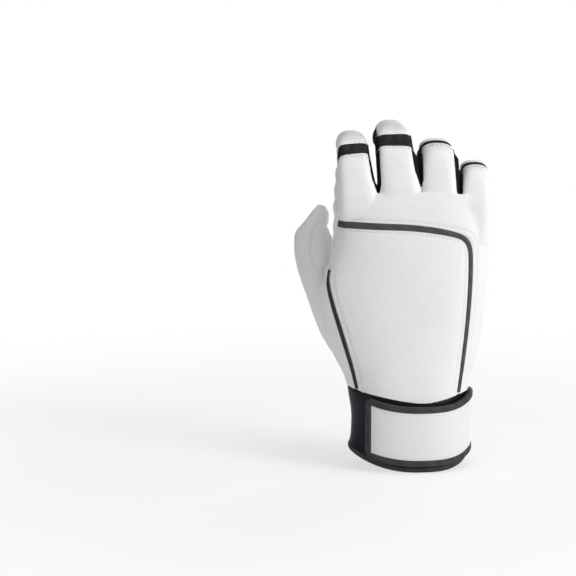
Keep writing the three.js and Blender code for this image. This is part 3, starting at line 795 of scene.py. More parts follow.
def cut(skin, value):
    """Cuts a skin along the line where a value is nought: the side above nought and the side below."""
    value = np.where(np.abs(value) < ON_CUT, ON_CUT, value)
    faces = skin["faces"]
    above = value > 0
    count = above[faces].sum(axis=1)
    crossed = faces[(count == 1) | (count == 2)]
    lone_above = above[crossed].sum(axis=1) == 1
    k = np.argmax(above[crossed] == lone_above[:, None], axis=1)
    row = np.arange(len(crossed))
    a, b, c = (crossed[row, (k + step) % 3] for step in range(3))
    edges = np.sort(np.vstack([np.stack([a, b], axis=1), np.stack([a, c], axis=1)]), axis=1)
    edges, back = np.unique(edges, axis=0, return_inverse=True)
    back = back.reshape(-1)
    if len(edges):
        low, high = edges[:, 0], edges[:, 1]
        share = value[low] / (value[low] - value[high])
    first_new = len(value)
    ab, ac = first_new + back[: len(a)], first_new + back[len(a) :]
    grown = {}
    for key, fact in skin.items():
        if key == "faces":
            continue
        if not len(edges):
            grown[key] = fact
        elif fact.dtype.kind == "i":
            grown[key] = np.concatenate([fact, fact[low]])
        else:
            t = share if fact.ndim == 1 else share[:, None]
            grown[key] = np.concatenate([fact, mix(fact[low], fact[high], t)])
    lone = np.stack([a, ab, ac], axis=1)
    rest = np.concatenate([np.stack([ab, b, c], axis=1), np.stack([ab, c, ac], axis=1)])
    twice = np.concatenate([lone_above, lone_above])
    sides = []
    for whole, tips, bases in ((3, lone_above, ~twice), (0, ~lone_above, twice)):
        kept = np.concatenate([faces[count == whole], lone[tips], rest[bases]])
        sides.append(tidy(grown, kept))
    return sides


def tidy(facts, faces):
    """A skin with only the points that its faces use."""
    used, renumbered = np.unique(faces.reshape(-1), return_inverse=True)
    skin = {key: fact[used] for key, fact in facts.items() if key != "faces"}
    skin["faces"] = renumbered.reshape(-1, 3)
    return skin


def to_edge(skin, leave=None):
    """How far each point is from the panel's sewn edge. Edges where leave is true aren't sewn."""
    faces = skin["faces"]
    edges = np.sort(np.vstack([faces[:, (0, 1)], faces[:, (1, 2)], faces[:, (2, 0)]]), axis=1)
    edges, counts = np.unique(edges, axis=0, return_counts=True)
    rim = np.unique(edges[counts == 1])
    if leave is not None:
        rim = rim[~leave[rim]]
    if not len(rim):
        return np.full(len(skin["points"]), FAR)
    tree = KDTree(len(rim))
    for k, point in enumerate(skin["points"][rim]):
        tree.insert(point, k)
    tree.balance()
    return np.array([tree.find(point)[2] for point in skin["points"]])


def push(skin, amount):
    """Moves a skin's points out along their normals."""
    skin["points"] = skin["points"] + skin["normals"] * np.asarray(amount)[:, None]
    return skin


def sewn(skin, leave=None):
    """Draws a panel down at its seams and swells it between them."""
    sizes = bpy.context.scene.glove_sizes
    distance = to_edge(skin, leave)
    groove = bell(distance, sizes.seam_width / MM)
    swell = 1 - bell(distance, PUFF_REACH)
    return push(skin, sizes.puff / MM * swell - sizes.seam_dip / MM * groove)


def nearest_on(line, points):
    """The nearest place on a line for each point."""
    size = (line**2).sum(axis=1)
    found = np.empty(len(points), int)
    for start in range(0, len(points), BLOCK):
        block = points[start : start + BLOCK]
        found[start : start + BLOCK] = (size - 2 * block @ line.T).argmin(axis=1)
    return found


def signed_distance(points, outline):
    """Distance of flat points from a closed outline, above nought inside it."""
    outline = np.asarray(outline, float)
    best = np.full(len(points), np.inf)
    inside = np.zeros(len(points), bool)
    for start, end in zip(outline, np.roll(outline, -1, axis=0)):
        run = end - start
        t = np.clip(((points - start) @ run) / max(run @ run, TINY), 0, 1)
        best = np.minimum(best, np.linalg.norm(points - start - t[:, None] * run, axis=1))
        spans = (start[1] > points[:, 1]) != (end[1] > points[:, 1])
        rise = run[1] if abs(run[1]) > TINY else TINY
        inside ^= spans & (points[:, 0] < start[0] + (points[:, 1] - start[1]) * run[0] / rise)
    return np.where(inside, best, -best)


def hand_nearness(points):
    """1 on the hand's own form, more outside it."""
    top = HAND_SECTIONS[-1, 0]
    height = points[:, 2].copy()
    for _ in range(TILT_ROUNDS):
        height = points[:, 2] + hand_section(height)[-1] * (points[:, 1] - HAND_TILT_AT)
    left, right, back, front, _ = hand_section(height)
    x = (points[:, 0] - (left + right) / 2) / ((right - left) / 2)
    y = points[:, 1] / np.where(points[:, 1] < 0, -back, front)
    across = (np.abs(x) ** HAND_SQUARENESS + np.abs(y) ** HAND_SQUARENESS) ** (1 / HAND_SQUARENESS)
    over = 1 + np.maximum(height - top, 0) / HAND_CAP * HAND_CAP_SPREAD
    return np.maximum(across, over * (height > top))


def measure(points):
    """Where each point lies on its finger, on the thumb and on the hand."""
    count = len(points)
    best = np.full(count, np.inf)
    facts = {key: np.zeros(count) for key in ("along", "away", "aside", "finger_depth")}
    facts["finger"] = np.zeros(count, int)
    facts["past_fold"] = np.full(count, -FAR)
    for index, line in enumerate(LINES):
        k = nearest_on(line["at"][:, 1:], points[:, 1:])
        gap = points - line["at"][k]
        away = (gap * line["palm"][k]).sum(axis=1)
        ahead = (gap * line["ahead"][k]).sum(axis=1)
        aside = gap[:, 0] / line["half"][k]
        near = np.sqrt(aside**2 + (away / line["depth"][k]) ** 2)
        won = near < best
        best = np.where(won, near, best)
        crease, onward = FOLDS[index]
        facts["finger"][won] = index
        facts["along"][won] = (line["along"][k] + ahead)[won]
        facts["away"][won] = away[won]
        facts["aside"][won] = aside[won]
        facts["finger_depth"][won] = line["depth"][k][won]
        facts["past_fold"][won] = ((points - crease) @ onward)[won]
    facts["near"] = best
    far_off = best > FINGER_FAR
    facts["along"][far_off] = -ROOT_ALONG
    facts["past_fold"][far_off] = -FAR
    k = nearest_on(THUMB["at"], points)
    gap = points - THUMB["at"][k]
    facts["thumb_near"] = np.linalg.norm(gap, axis=1) / THUMB["half"][k]
    facts["thumb_fold"] = (points - THUMB_CREASE) @ THUMB_SPOT["ahead"]
    facts["hand_near"] = hand_nearness(points)
    return facts


def thumb_seam_depth(height):
    """Depth of the seam that runs along both sides of the thumb."""
    low, high = THUMB_PATH[0], THUMB_PATH[-1]
    slope = (high[1] - low[1]) / (high[2] - low[2])
    return low[1] + slope * (height - low[2]) + THUMB_SEAM["deeper"]


def side_seam_depth(x, z):
    """Depth of the seam between palm and back: nearer the palm at the wrist on the little finger's side."""
    at_wrist = SIDE_SEAM["wrist"] * (1 - ramp(z, *SIDE_SEAM["wrist_to"])) * smooth(x / SIDE_SEAM["over"])
    return SIDE_SEAM["depth"] + at_wrist + SIDE_SEAM["fingers"] * ramp(z, *SIDE_SEAM["fingers_from"])


def leather_edge(x, y):
    """Height of the leather's lower edge: lowest near the middle of each face, highest at the sides."""
    low_at = mix(LEATHER_EDGE["back_at"], LEATHER_EDGE["palm_at"], ramp(y, *LEATHER_EDGE["between"]))
    aside = x - low_at
    reach = CUFF["half_width"] + np.sign(aside) * (CUFF["middle"] - low_at)
    rise = np.where(aside < 0, LEATHER_EDGE["thumb"], LEATHER_EDGE["little"])
    soft = LEATHER_EDGE["round"]
    climb = np.hypot(np.minimum(np.abs(aside) / reach, LEATHER_EDGE["most"]), soft) - soft
    return LEATHER_EDGE["low"] + rise * climb / (math.hypot(1, soft) - soft)


def by_finger(finger, key):
    """A value of each point's own finger."""
    return np.array([each[key] for each in FINGERS])[finger]


def first_bone(finger):
    """The length of the first bone of each point's own finger."""
    return np.array([each["lengths"][0] for each in FINGERS])[finger]


def gusset_value(points, facts):
    """Above nought on the dark gussets: the facing sides of the fingers, and round their ends."""
    x, y, z = points.T
    finger, aside, along = facts["finger"], facts["aside"], facts["along"]
    plain = by_finger(finger, "plain")
    facing = np.where(plain == 0, 1, fade(plain * aside, *GUSSET_ENDS["facing"]))
    inner = np.where(plain == 0, 1, smooth(0.5 - plain * aside * GUSSET_ENDS["inner"]))
    slit = np.clip(np.where(aside > 0, finger, finger - 1), 0, len(SLIT_RISE) - 1)
    floor = np.interp(y, *zip(*SLIT_FLOOR)) + np.array(SLIT_RISE)[slit]
    middles = np.array([slit_middle(k, 2 * ROOT_ALONG) for k in range(len(SLIT_RISE))])
    floor = floor + np.minimum(SLIT_POINT["slope"] * np.abs(x - middles[slit]), SLIT_POINT["most"])
    past = facts["past_fold"] > -FLEX_BAND
    rooted = np.where(past, 1, ramp(z - floor, *GUSSET_ENDS["floor"]))
    rooted = np.where(along < first_bone(finger) - FLEX_BAND, np.minimum(rooted, inner), rooted)
    below_bend = 1 - ramp(along - first_bone(finger), *GUSSET_ENDS["bend"])
    square = squareness_at({"flat_to": by_finger(finger, "flat_to")}, along)
    shares = ((1 - GUSSET_ASIDE[side] ** square) ** (1 / square) for side in ("back", "palm"))
    to_back, to_palm = (mix(GUSSET_HALF, share * facts["finger_depth"], below_bend) for share in shares)
    away = facts["away"] - PLAIN_SEAM * (1 - facing)
    at_palm = np.where(past, 1, ramp(z - PALM_SLIT["close"], *GUSSET_ENDS["palm"]))
    value = np.minimum(away + to_back * facing * rooted, to_palm * facing * rooted * at_palm - away)
    return np.where(along < GUSSET_ENDS["root"], -1.0, value - GUSSET_ENDS["sunk"])


def palm_slit_value(points, facts):
    """How far inside a leaf-shaped slit of the palm each point lies, between two finger roots."""
    x, y, z = points.T
    inside = np.full(len(points), -FAR)
    for index, rise in enumerate(SLIT_RISE):
        middle = slit_line(index, z, PALM_SLIT["lowest"])
        opened = np.clip((z - PALM_SLIT["foot"] - rise) / PALM_SLIT["over"], 0, 1)
        half = PALM_SLIT["half"] * (1 - (1 - opened) ** 2)
        half = half * (1 - smooth((z - PALM_SLIT["close"] - rise) / PALM_SLIT["closed_over"]))
        inside = np.maximum(inside, half - np.abs(x - middle) - PALM_SLIT["sunk"])
    return np.where((y > PALM_SLIT["palm"][0]) & (facts["past_fold"] < -FLEX_BAND), inside, -1.0)


def regions(points, facts):
    """Values that are above nought inside each panel's part of the glove."""
    x, y, z = points.T
    facts["above_cuff"] = z - leather_edge(x, y)
    facts["palm_slit"] = palm_slit_value(points, facts)
    facts["gusset"] = np.maximum(gusset_value(points, facts), facts["palm_slit"])

    at_finger = ramp(facts["along"], *FINGER_SEAM["from"]) * (facts["near"] < FINGER_SEAM["near"])
    of_thumb = y - thumb_seam_depth(z)
    of_hand = mix(y - side_seam_depth(x, z), of_thumb, fade(x, *THUMB_SEAM["from"]))
    facts["front"] = mix(of_hand, facts["away"] - PLAIN_SEAM, at_finger)
    facts["thumb_front"] = of_thumb

    across_up = points[:, (0, 2)]
    thumb = spline(THUMB_PIPING)
    foot, top = PANEL_FOOT["height"], THUMB_SIDE["top"]
    little_foot, thumb_foot = (PANEL_FOOT["little"], foot), (PANEL_FOOT["thumb"], foot)
    centre = np.vstack([spline(KNUCKLE_PIPING), [little_foot, thumb_foot], thumb[::-1]])
    facts["centre"] = signed_distance(across_up, centre)
    left = np.vstack([thumb, [thumb_foot, (-FAR, foot), (-FAR, top), (thumb[0][0], top)]])
    on_thumb = THUMB_SIDE["scale"] * (facts["hand_near"] - facts["thumb_near"])
    facts["thumb_side"] = mix(signed_distance(across_up, left), on_thumb, ramp(z, *THUMB_SIDE["from"]))
    heel = np.vstack([spline(HEEL_SEAM), [(FAR, HEEL_SEAM[-1][1]), (FAR, HEEL_SEAM[0][1])]])
    facts["heel"] = signed_distance(across_up, heel)
    return facts


FORM = {}


def build_form():
    """The glove's whole outside as one skin, with facts about each point."""
    sizes = bpy.context.scene.glove_sizes
    parts = [loft_piece("form_hand", hand_rings())]
    parts += [loft_piece("form_" + f["name"], finger_rings(k)) for k, f in enumerate(FINGERS)]
    parts.append(loft_piece("form_thumb", thumb_rings()))
    select_only(*parts)
    bpy.ops.object.join()
    form = bpy.context.object
    form.data.remesh_voxel_size = sizes.fineness
    form.data.use_remesh_fix_poles = False
    bpy.ops.object.voxel_remesh()
    modifier(form, "SMOOTH", **FORM_SMOOTHING)

    points = read_points(form)
    facts = measure(points)
    off_hand = (facts["hand_near"] - 1) / MEETING["reach"]
    off_rest = (np.minimum(facts["near"], facts["thumb_near"]) - 1) / MEETING["reach"]
    soften = np.exp(-(off_hand**2) - off_rest**2)
    group = form.vertex_groups.new(name="meeting")
    for k in np.flatnonzero(soften > MEETING["least"]):
        group.add([int(k)], float(soften[k]), "REPLACE")
    strength = {key: MEETING[key] for key in ("factor", "iterations")}
    modifier(form, "SMOOTH", vertex_group="meeting", **strength)

    points = read_points(form)
    shape_thumb(form, points, measure(points))
    mesh = form.data
    mesh.calc_loop_triangles()
    faces = np.empty(len(mesh.loop_triangles) * 3, np.int32)
    mesh.loop_triangles.foreach_get("vertices", faces)
    points = read_points(form)
    facts = regions(points, measure(points))
    skin = {"points": points, "normals": read_normals(form), "faces": faces.reshape(-1, 3), **facts}
    FORM["skin"] = push(skin, wear(skin))
    inside = smooth(skin["palm_slit"] / PALM_SLIT["edge"]) * ramp(skin["points"][:, 1], *PALM_SLIT["palm"])
    skin["points"][:, 1] -= PALM_SLIT["deep"] * inside
    FORM["tree"] = BVHTree.FromPolygons(skin["points"].tolist(), skin["faces"].tolist())
    bpy.data.objects.remove(form)


def read_normals(piece):
    normals = np.empty(len(piece.data.vertices) * 3)
    piece.data.vertices.foreach_get("normal", normals)
    return normals.reshape(-1, 3)


def shape_thumb(form, points, facts):
    """Flattens the thumb's outer edge below its tip, swells its knuckle and folds the leather round it."""
    x, _, z = points.T
    normals = read_normals(form)
    on = fade(facts["thumb_near"], *THUMB_ON["near"]) * ramp(z, *THUMB_ON["from"])
    tip, corner = np.array(THUMB_EDGE["tip"]), np.array(THUMB_EDGE["corner"])
    run = unit(corner - tip)
    out = np.array((run[1], -run[0]))
    flat = points[:, (0, 2)]
    inwards = THUMB_EDGE["flatten"] * np.maximum((flat - tip) @ out, 0)
    to_corner = np.linalg.norm(flat - corner, axis=1)
    points[:, 0] -= on * (inwards * out[0] + THUMB_EDGE["proud"] * bell(to_corner, THUMB_EDGE["round"]))
    points[:, 2] -= on * inwards * out[1]
    crotch = ramp(points, THUMB_WEB["from"], THUMB_WEB["over"]).prod(axis=1)
    base = through(*np.array(THUMB_SWELL["base"]).T, z) * fade(x, *THUMB_FACING["base"]) * (1 - crotch)
    points[:, 0] -= base * smooth(-normals[:, 0] / THUMB_FACING["side"])
    inner = through(*np.array(THUMB_SWELL["inner"]).T, z) * on
    points[:, 0] += inner * smooth(normals[:, 0] / THUMB_FACING["side"])
    behind = fade(normals[:, 1], *THUMB_FACING["back"])
    across = (x - THUMB_OVAL["x"]) / THUMB_OVAL["half"]
    up = (z - THUMB_OVAL["z"]) / THUMB_OVAL["tall"]
    reach = np.sqrt(across**2 + up**2)
    knuckle = THUMB_KNUCKLE["rise"] * bell(reach, THUMB_KNUCKLE["over"])
    fold = THUMB_FOLD["deep"] * bell(reach - THUMB_FOLD["at"], THUMB_FOLD["wide"])
    crease = OVAL_CREASE["deep"] * bell(x - THUMB_OVAL["x"] + THUMB_OVAL["half"], OVAL_CREASE["wide"])
    crease = crease * ramp(z, *OVAL_CREASE["from"]) * (1 - ramp(z, *OVAL_CREASE["to"]))
    points += normals * (on * behind * (knuckle - fold - crease))[:, None]
    form.data.vertices.foreach_set("co", place(points).ravel())
    form.data.update()


def read_points(piece):
    points = np.empty(len(piece.data.vertices) * 3)
    piece.data.vertices.foreach_get("co", points)
    return points.reshape(-1, 3) / MM - GLOVE_ORIGIN


def wear(skin):
    """Soft waves of worn leather, and folds where the hand bends."""
    x, y, z = skin["points"].T
    wide, sway, sway_tall = WAVE["across"]
    tall, lean, lean_wide, lean_deep = WAVE["upward"]
    waves = np.sin(x / wide + sway * np.sin(z / sway_tall))
    waves = waves * np.sin(z / tall + lean * np.sin(x / lean_wide + y / lean_deep))
    lift = WAVE["lift"] * waves * ramp(z, *WAVE["from"])
    front = ramp(skin["away"], *FINGER_FRONT["from"]) * (skin["near"] < FINGER_FRONT["near"])
    for index, finger in enumerate(FINGERS):
        on = (skin["finger"] == index) * front
        for joint, past, depth in FINGER_FOLDS:
            fold = sum(finger["lengths"][:joint]) + past
            lift -= depth * on * bell(skin["along"] - fold, FOLD_WIDE)
    palm = PALM_FOLD["deep"] * ramp(y, *PALM_FOLD["palm"])
    above = z - PALM_FOLD["height"] - PALM_FOLD["lean"] * x
    lift -= palm * bell(above, PALM_FOLD["wide"]) * ramp(x, *PALM_FOLD["end"])
    back = STITCH_DENT["deep"] * fade(skin["normals"][:, 1], *STITCH_DENT["back"])
    flat = skin["points"][:, (0, 2)]
    for line in stitch_lines():
        gap = np.linalg.norm(flat - line[nearest_on(line, flat)], axis=1)
        lift -= back * bell(gap, STITCH_DENT["wide"])
    return lift


def knuckle_line():
    line = spline(KNUCKLE_PIPING)
    return above_cuff(line[line[:, 0] > PIPING_END])


def above_cuff(line):
    """The part of a line on the back that lies on the leather."""
    return line[line[:, 1] > leather_edge(line[:, 0], -FAR) + PIPING_FOOT]


def thumb_line_on_back():
    return above_cuff(spline(THUMB_PIPING))


def beside(line, aside):
    """A line moved sideways, across and up the hand."""
    along = unit(np.gradient(line, axis=0))
    return line + np.stack([-along[:, 1], along[:, 0]], axis=1) * aside


def stitch_lines():
    """The lines of stitches either side of the piping, across and up the hand."""
    lines = []
    for line in (knuckle_line(), thumb_line_on_back()):
        sewn_part = line[line[:, 1] > STITCH_FOOT]
        lines += [beside(sewn_part, aside) for aside in (-PIPING_STITCH, PIPING_STITCH)]
    return lines


def surface(point):
    """The nearest place on the glove's outside, and its normal."""
    place_found, normal, _, _ = FORM["tree"].find_nearest(Vector(point))
    return np.array(place_found), np.array(normal)


def seen_from_back(x, z):
    """The place on the back of the glove behind a point across and up it, or None."""
    return seen((x, -FAR, z), (0, 1, 0))


def seen(start, way):
    """The first place on the glove from a point outside it, or None."""
    hit = FORM["tree"].ray_cast(Vector(start), Vector(way))[0]
    return None if hit is None else np.array(hit)


# Materials


def add_node(tree, kind, inputs=None, **settings):
    """Adds a node with its settings, and values or links for its inputs."""
    node = tree.nodes.new(kind)
    for key, value in settings.items():
        setattr(node, key, value)
    for socket, value in (inputs or {}).items():
        if isinstance(value, bpy.types.NodeSocket):
            tree.links.new(value, node.inputs[socket])
        else:
            node.inputs[socket].default_value = value
    return node


def per_mm(size):
    """The scale of a pattern whose features are this many millimetres across."""
    return 1 / (size * MM)


WAVE_UNIT = 20  # a wave texture draws its bands this many times closer than its scale says


def new_material(name, tint, roughness, specular=0.5):
    """A material with its shader and its object coordinates."""
    material = bpy.data.materials.new(name)
    material.use_nodes = True
    tree = material.node_tree
    shader = tree.nodes["Principled BSDF"]
    shader.inputs["Base Color"].default_value = tint
    shader.inputs["Roughness"].default_value = roughness
    shader.inputs["Specular IOR Level"].default_value = specular
    coordinates = add_node(tree, "ShaderNodeTexCoord").outputs["Object"]
    return material, tree, shader, coordinates


def shade(tint, by):
    return tuple(c * by for c in tint[:3]) + (1.0,)


def leather_material():
    """Smooth full-grain leather, dyed white and lightly coated: a fine pebble grain and a low sheen."""
    tint = bpy.context.scene.glove_colours.leather
    material, tree, shader, at = new_material("white_leather_smooth_grain", tint, 0.5)
    blotch = add_node(tree, "ShaderNodeTexNoise", {"Vector": at, "Scale": per_mm(26), "Detail": 3.0})
    colours = {"Factor": blotch.outputs["Fac"], "A": shade(tint, 0.93), "B": shade(tint, 1.03)}
    mixed = add_node(tree, "ShaderNodeMix", colours, data_type="RGBA")
    tree.links.new(mixed.outputs["Result"], shader.inputs["Base Color"])
    # The grain of the real leather is about 0.4 mm, and it is drawn at 1.1 mm so that it shows.
    grain = add_node(
        tree, "ShaderNodeTexVoronoi", {"Vector": at, "Scale": per_mm(1.1)}, feature="SMOOTH_F1"
    )
    crease = add_node(tree, "ShaderNodeTexNoise", {"Vector": at, "Scale": per_mm(5), "Detail": 4.0})
    fine = add_node(
        tree, "ShaderNodeBump", {"Height": grain.outputs["Distance"], "Strength": 0.10, "Distance": 0.0004}
    )
    soft = add_node(
        tree,
        "ShaderNodeBump",
        {
            "Height": crease.outputs["Fac"],
            "Strength": 0.16,
            "Distance": 0.0012,
            "Normal": fine.outputs["Normal"],
        },
    )
    tree.links.new(soft.outputs["Normal"], shader.inputs["Normal"])
    gloss = add_node(
        tree, "ShaderNodeMapRange", {"Value": blotch.outputs["Fac"], "To Min": 0.42, "To Max": 0.58}
    )
    tree.links.new(gloss.outputs["Result"], shader.inputs["Roughness"])
    return material


def knit_material(name, tint, pitch, strength, roughness):
    """Stretch knit of fine elastic yarn: rows of loops that show as a small even grid, and no shine."""
    material, tree, shader, at = new_material(name, tint, roughness, specular=0.15)
    yarn = {"Vector": at, "Scale": per_mm(pitch) / WAVE_UNIT, "Distortion": 0.6, "Detail": 1.0}
    rows = add_node(tree, "ShaderNodeTexWave", yarn, bands_direction="Z")
    columns = add_node(tree, "ShaderNodeTexWave", yarn, bands_direction="X")
    grid = add_node(
        tree, "ShaderNodeMath", {0: rows.outputs["Fac"], 1: columns.outputs["Fac"]}, operation="MULTIPLY"
    )
    colours = {"Factor": grid.outputs["Value"], "A": shade(tint, 0.75), "B": shade(tint, 1.35)}
    mixed = add_node(tree, "ShaderNodeMix", colours, data_type="RGBA")
    tree.links.new(mixed.outputs["Result"], shader.inputs["Base Color"])
    bump = add_node(
        tree, "ShaderNodeBump", {"Height": grid.outputs["Value"], "Strength": strength, "Distance": 0.0004}
    )
    tree.links.new(bump.outputs["Normal"], shader.inputs["Normal"])
    return material


def neoprene_material():
    """Smooth-skin neoprene foam: navy black, with a soft sheen and the faint mottle of its rubber skin."""
    tint = bpy.context.scene.glove_colours.neoprene
    material, tree, shader, at = new_material("neoprene_smooth_skin", tint, 0.42, specular=0.2)
    mottle = add_node(tree, "ShaderNodeTexNoise", {"Vector": at, "Scale": per_mm(9), "Detail": 4.0})
    colours = {"Factor": mottle.outputs["Fac"], "A": shade(tint, 0.8), "B": shade(tint, 1.4)}
    mixed = add_node(tree, "ShaderNodeMix", colours, data_type="RGBA")
    tree.links.new(mixed.outputs["Result"], shader.inputs["Base Color"])
    pores = add_node(tree, "ShaderNodeTexNoise", {"Vector": at, "Scale": per_mm(0.9), "Detail": 2.0})
    bump = add_node(
        tree, "ShaderNodeBump", {"Height": pores.outputs["Fac"], "Strength": 0.12, "Distance": 0.0004}
    )
    tree.links.new(bump.outputs["Normal"], shader.inputs["Normal"])
    gloss = add_node(
        tree, "ShaderNodeMapRange", {"Value": mottle.outputs["Fac"], "To Min": 0.36, "To Max": 0.5}
    )
    tree.links.new(gloss.outputs["Result"], shader.inputs["Roughness"])
    return material


def tape_material(name, tint, pitch, roughness):
    """Woven polyester tape: close slanting ribs and a dull satin face."""
    material, tree, shader, at = new_material(name, tint, roughness, specular=0.25)
    ribs = add_node(
        tree,
        "ShaderNodeTexWave",
        {"Vector": at, "Scale": per_mm(pitch) / WAVE_UNIT, "Distortion": 0.3},
        bands_direction="DIAGONAL",
    )
    colours = {"Factor": ribs.outputs["Fac"], "A": shade(tint, 0.88), "B": shade(tint, 1.12)}
    mixed = add_node(tree, "ShaderNodeMix", colours, data_type="RGBA")
    tree.links.new(mixed.outputs["Result"], shader.inputs["Base Color"])
    bump = add_node(
        tree, "ShaderNodeBump", {"Height": ribs.outputs["Fac"], "Strength": 0.2, "Distance": 0.0003}
    )
    tree.links.new(bump.outputs["Normal"], shader.inputs["Normal"])
    return material


def strap_material():
    """Coated synthetic leather: white, flatter and a little glossier than the hand's leather."""
    tint = bpy.context.scene.glove_colours.strap
    material, tree, shader, at = new_material("coated_white_strap", tint, 0.38)
    grain = add_node(tree, "ShaderNodeTexNoise", {"Vector": at, "Scale": per_mm(1.4), "Detail": 3.0})
    cloud = add_node(tree, "ShaderNodeTexNoise", {"Vector": at, "Scale": per_mm(18), "Detail": 2.0})
    colours = {"Factor": cloud.outputs["Fac"], "A": shade(tint, 0.96), "B": shade(tint, 1.0)}
    mixed = add_node(tree, "ShaderNodeMix", colours, data_type="RGBA")
    tree.links.new(mixed.outputs["Result"], shader.inputs["Base Color"])
    bump = add_node(
        tree, "ShaderNodeBump", {"Height": grain.outputs["Fac"], "Strength": 0.08, "Distance": 0.0004}
    )
    tree.links.new(bump.outputs["Normal"], shader.inputs["Normal"])
    return material


def pile_material():
    """Nylon hook-and-loop pile: black, rough and without shine."""
    tint = bpy.context.scene.glove_colours.fastener
    material, tree, shader, at = new_material("nylon_pile_black", tint, 0.95, specular=0.1)
    loops = add_node(tree, "ShaderNodeTexVoronoi", {"Vector": at, "Scale": per_mm(0.9)})
    colours = {"Factor": loops.outputs["Distance"], "A": shade(tint, 1.6), "B": shade(tint, 0.6)}
    mixed = add_node(tree, "ShaderNodeMix", colours, data_type="RGBA")
    tree.links.new(mixed.outputs["Result"], shader.inputs["Base Color"])
    bump = add_node(
        tree, "ShaderNodeBump", {"Height": loops.outputs["Distance"], "Strength": 0.6, "Distance": 0.0006}
    )
    tree.links.new(bump.outputs["Normal"], shader.inputs["Normal"])
    return material


def thread_material():
    """Bonded polyester thread: off-white, twisted, with a small sheen."""
    tint = bpy.context.scene.glove_colours.thread
    material, tree, shader, at = new_material("bonded_polyester_thread", tint, 0.55)
    strands = {"Vector": at, "Scale": per_mm(0.6) / WAVE_UNIT}
    twist = add_node(tree, "ShaderNodeTexWave", strands, bands_direction="DIAGONAL")
    colours = {"Factor": twist.outputs["Fac"], "A": shade(tint, 0.85), "B": tint}
    mixed = add_node(tree, "ShaderNodeMix", colours, data_type="RGBA")
    tree.links.new(mixed.outputs["Result"], shader.inputs["Base Color"])
    return material


MATERIALS = {}


def make_materials():
    tints = bpy.context.scene.glove_colours
    MATERIALS["leather"] = leather_material()
    for key, name, tint, pitch, strength, roughness in (
        ("band", "elastic_rib_knit", tints.band, 1.0, 0.35, 0.8),
        ("gusset", "stretch_knit_black", tints.gusset, 0.9, 0.3, 0.9),
        ("lining", "brushed_lining_knit", tints.lining, 1.2, 0.3, 0.95),
    ):
        MATERIALS[key] = knit_material(name, tint, pitch, strength, roughness)
    for key, name, tint, pitch, roughness in (
        ("piping", "satin_piping_tape", tints.piping, 0.9, 0.6),
        # The thumb's piping is the same tape as the knuckle's, darkened with the stretch band's colour as
        # painted shade
        ("shaded_piping", "satin_piping_tape_painted_shade", tints.band, 0.9, 0.6),
        ("binding", "woven_binding_tape", tints.binding, 1.0, 0.7),
    ):
        MATERIALS[key] = tape_material(name, tint, pitch, roughness)
    MATERIALS["neoprene"] = neoprene_material()
    MATERIALS["strap"] = strap_material()
    MATERIALS["pile"] = pile_material()
    MATERIALS["thread"] = thread_material()


# Leather of the hand


def lined_panel(name, skin, nodes, bend=None, material="leather", slot="white_leather"):
    """One panel of the glove's outside, with its lining."""
    panel = skin_piece(name, skin)
    thicken(panel, bpy.context.scene.glove_sizes.leather, material, "lining")
    finish(panel, material, nodes, body="hand", bend=bend)


def sewn_panel(name, skin, nodes, leave=None, **kind):
    """One panel that is drawn down at its seams."""
    lined_panel(name, sewn(skin, leave), nodes, **kind)


GUSSET_KNIT = {"material": "gusset", "slot": "gusset_fabric"}
CUT_NEAR, THUMB_CUT_NEAR = 0.05, 0.4  # how near a cut a point counts as on it


def at_cuff(skin):
    return np.abs(skin["above_cuff"]) < CUT_NEAR


def at_split(skin):
    """Points on the plain cut below a finger's fold or the thumb's, which isn't a seam."""
    below_finger = np.abs(skin["past_fold"] + FLEX_BAND / 2) < CUT_NEAR
    below_thumb = np.abs(past_thumb_fold(skin)) < THUMB_CUT_NEAR
    return below_finger | below_thumb | at_cuff(skin)


def past_thumb_fold(skin):
    """Above nought on the thumb past its fold, also where it swells past its own form."""
    x, _, z = skin["points"].T
    over = THUMB_REACH["over"]
    outer = smooth((THUMB_REACH["outer"] - x) / over + 0.5)
    inner = smooth((THUMB_REACH["inner"] - x) / over + 0.5)
    inner = inner * smooth((z - THUMB_REACH["above"]) / over + 0.5)
    limit = mix(THUMB_REACH["near"], THUMB_REACH["swollen"], np.maximum(outer, inner))
    on_thumb = THUMB_REACH["radius"] * (limit - skin["thumb_near"])
    return np.minimum(skin["thumb_fold"] + THUMB_BLEND, on_thumb)


def split_form():
    """Parts the form into the hand, the fingers past their bands and the thumb past its fold."""
    hand = cut(FORM["skin"], FORM["skin"]["above_cuff"])[0]
    for index, finger in enumerate(FINGERS):
        past = np.where(hand["finger"] == index, hand["past_fold"] + FLEX_BAND / 2, -FAR)
        FORM[finger["name"]], hand = cut(hand, past)
    FORM["thumb"], FORM["hand"] = cut(hand, past_thumb_fold(hand))


def fill_slit(gusset, index):
    """Swells the walls of a slit until they meet, below the height from which it stands open."""
    x, _, height = gusset["points"].T
    swell = SLIT_FILL["share"] * smooth(gusset["gusset"] / SLIT_FILL["edge"])
    closed = 1 - ramp(height, SLIT_OPEN[index] - SLIT_FILL["over"], SLIT_FILL["over"])
    short = ramp(-gusset["past_fold"], FLEX_BAND / 2, SLIT_FILL["over"])
    x += swell * closed * short * (slit_line(index, height, SLIT_FILL["lowest"]) - x)
    return gusset


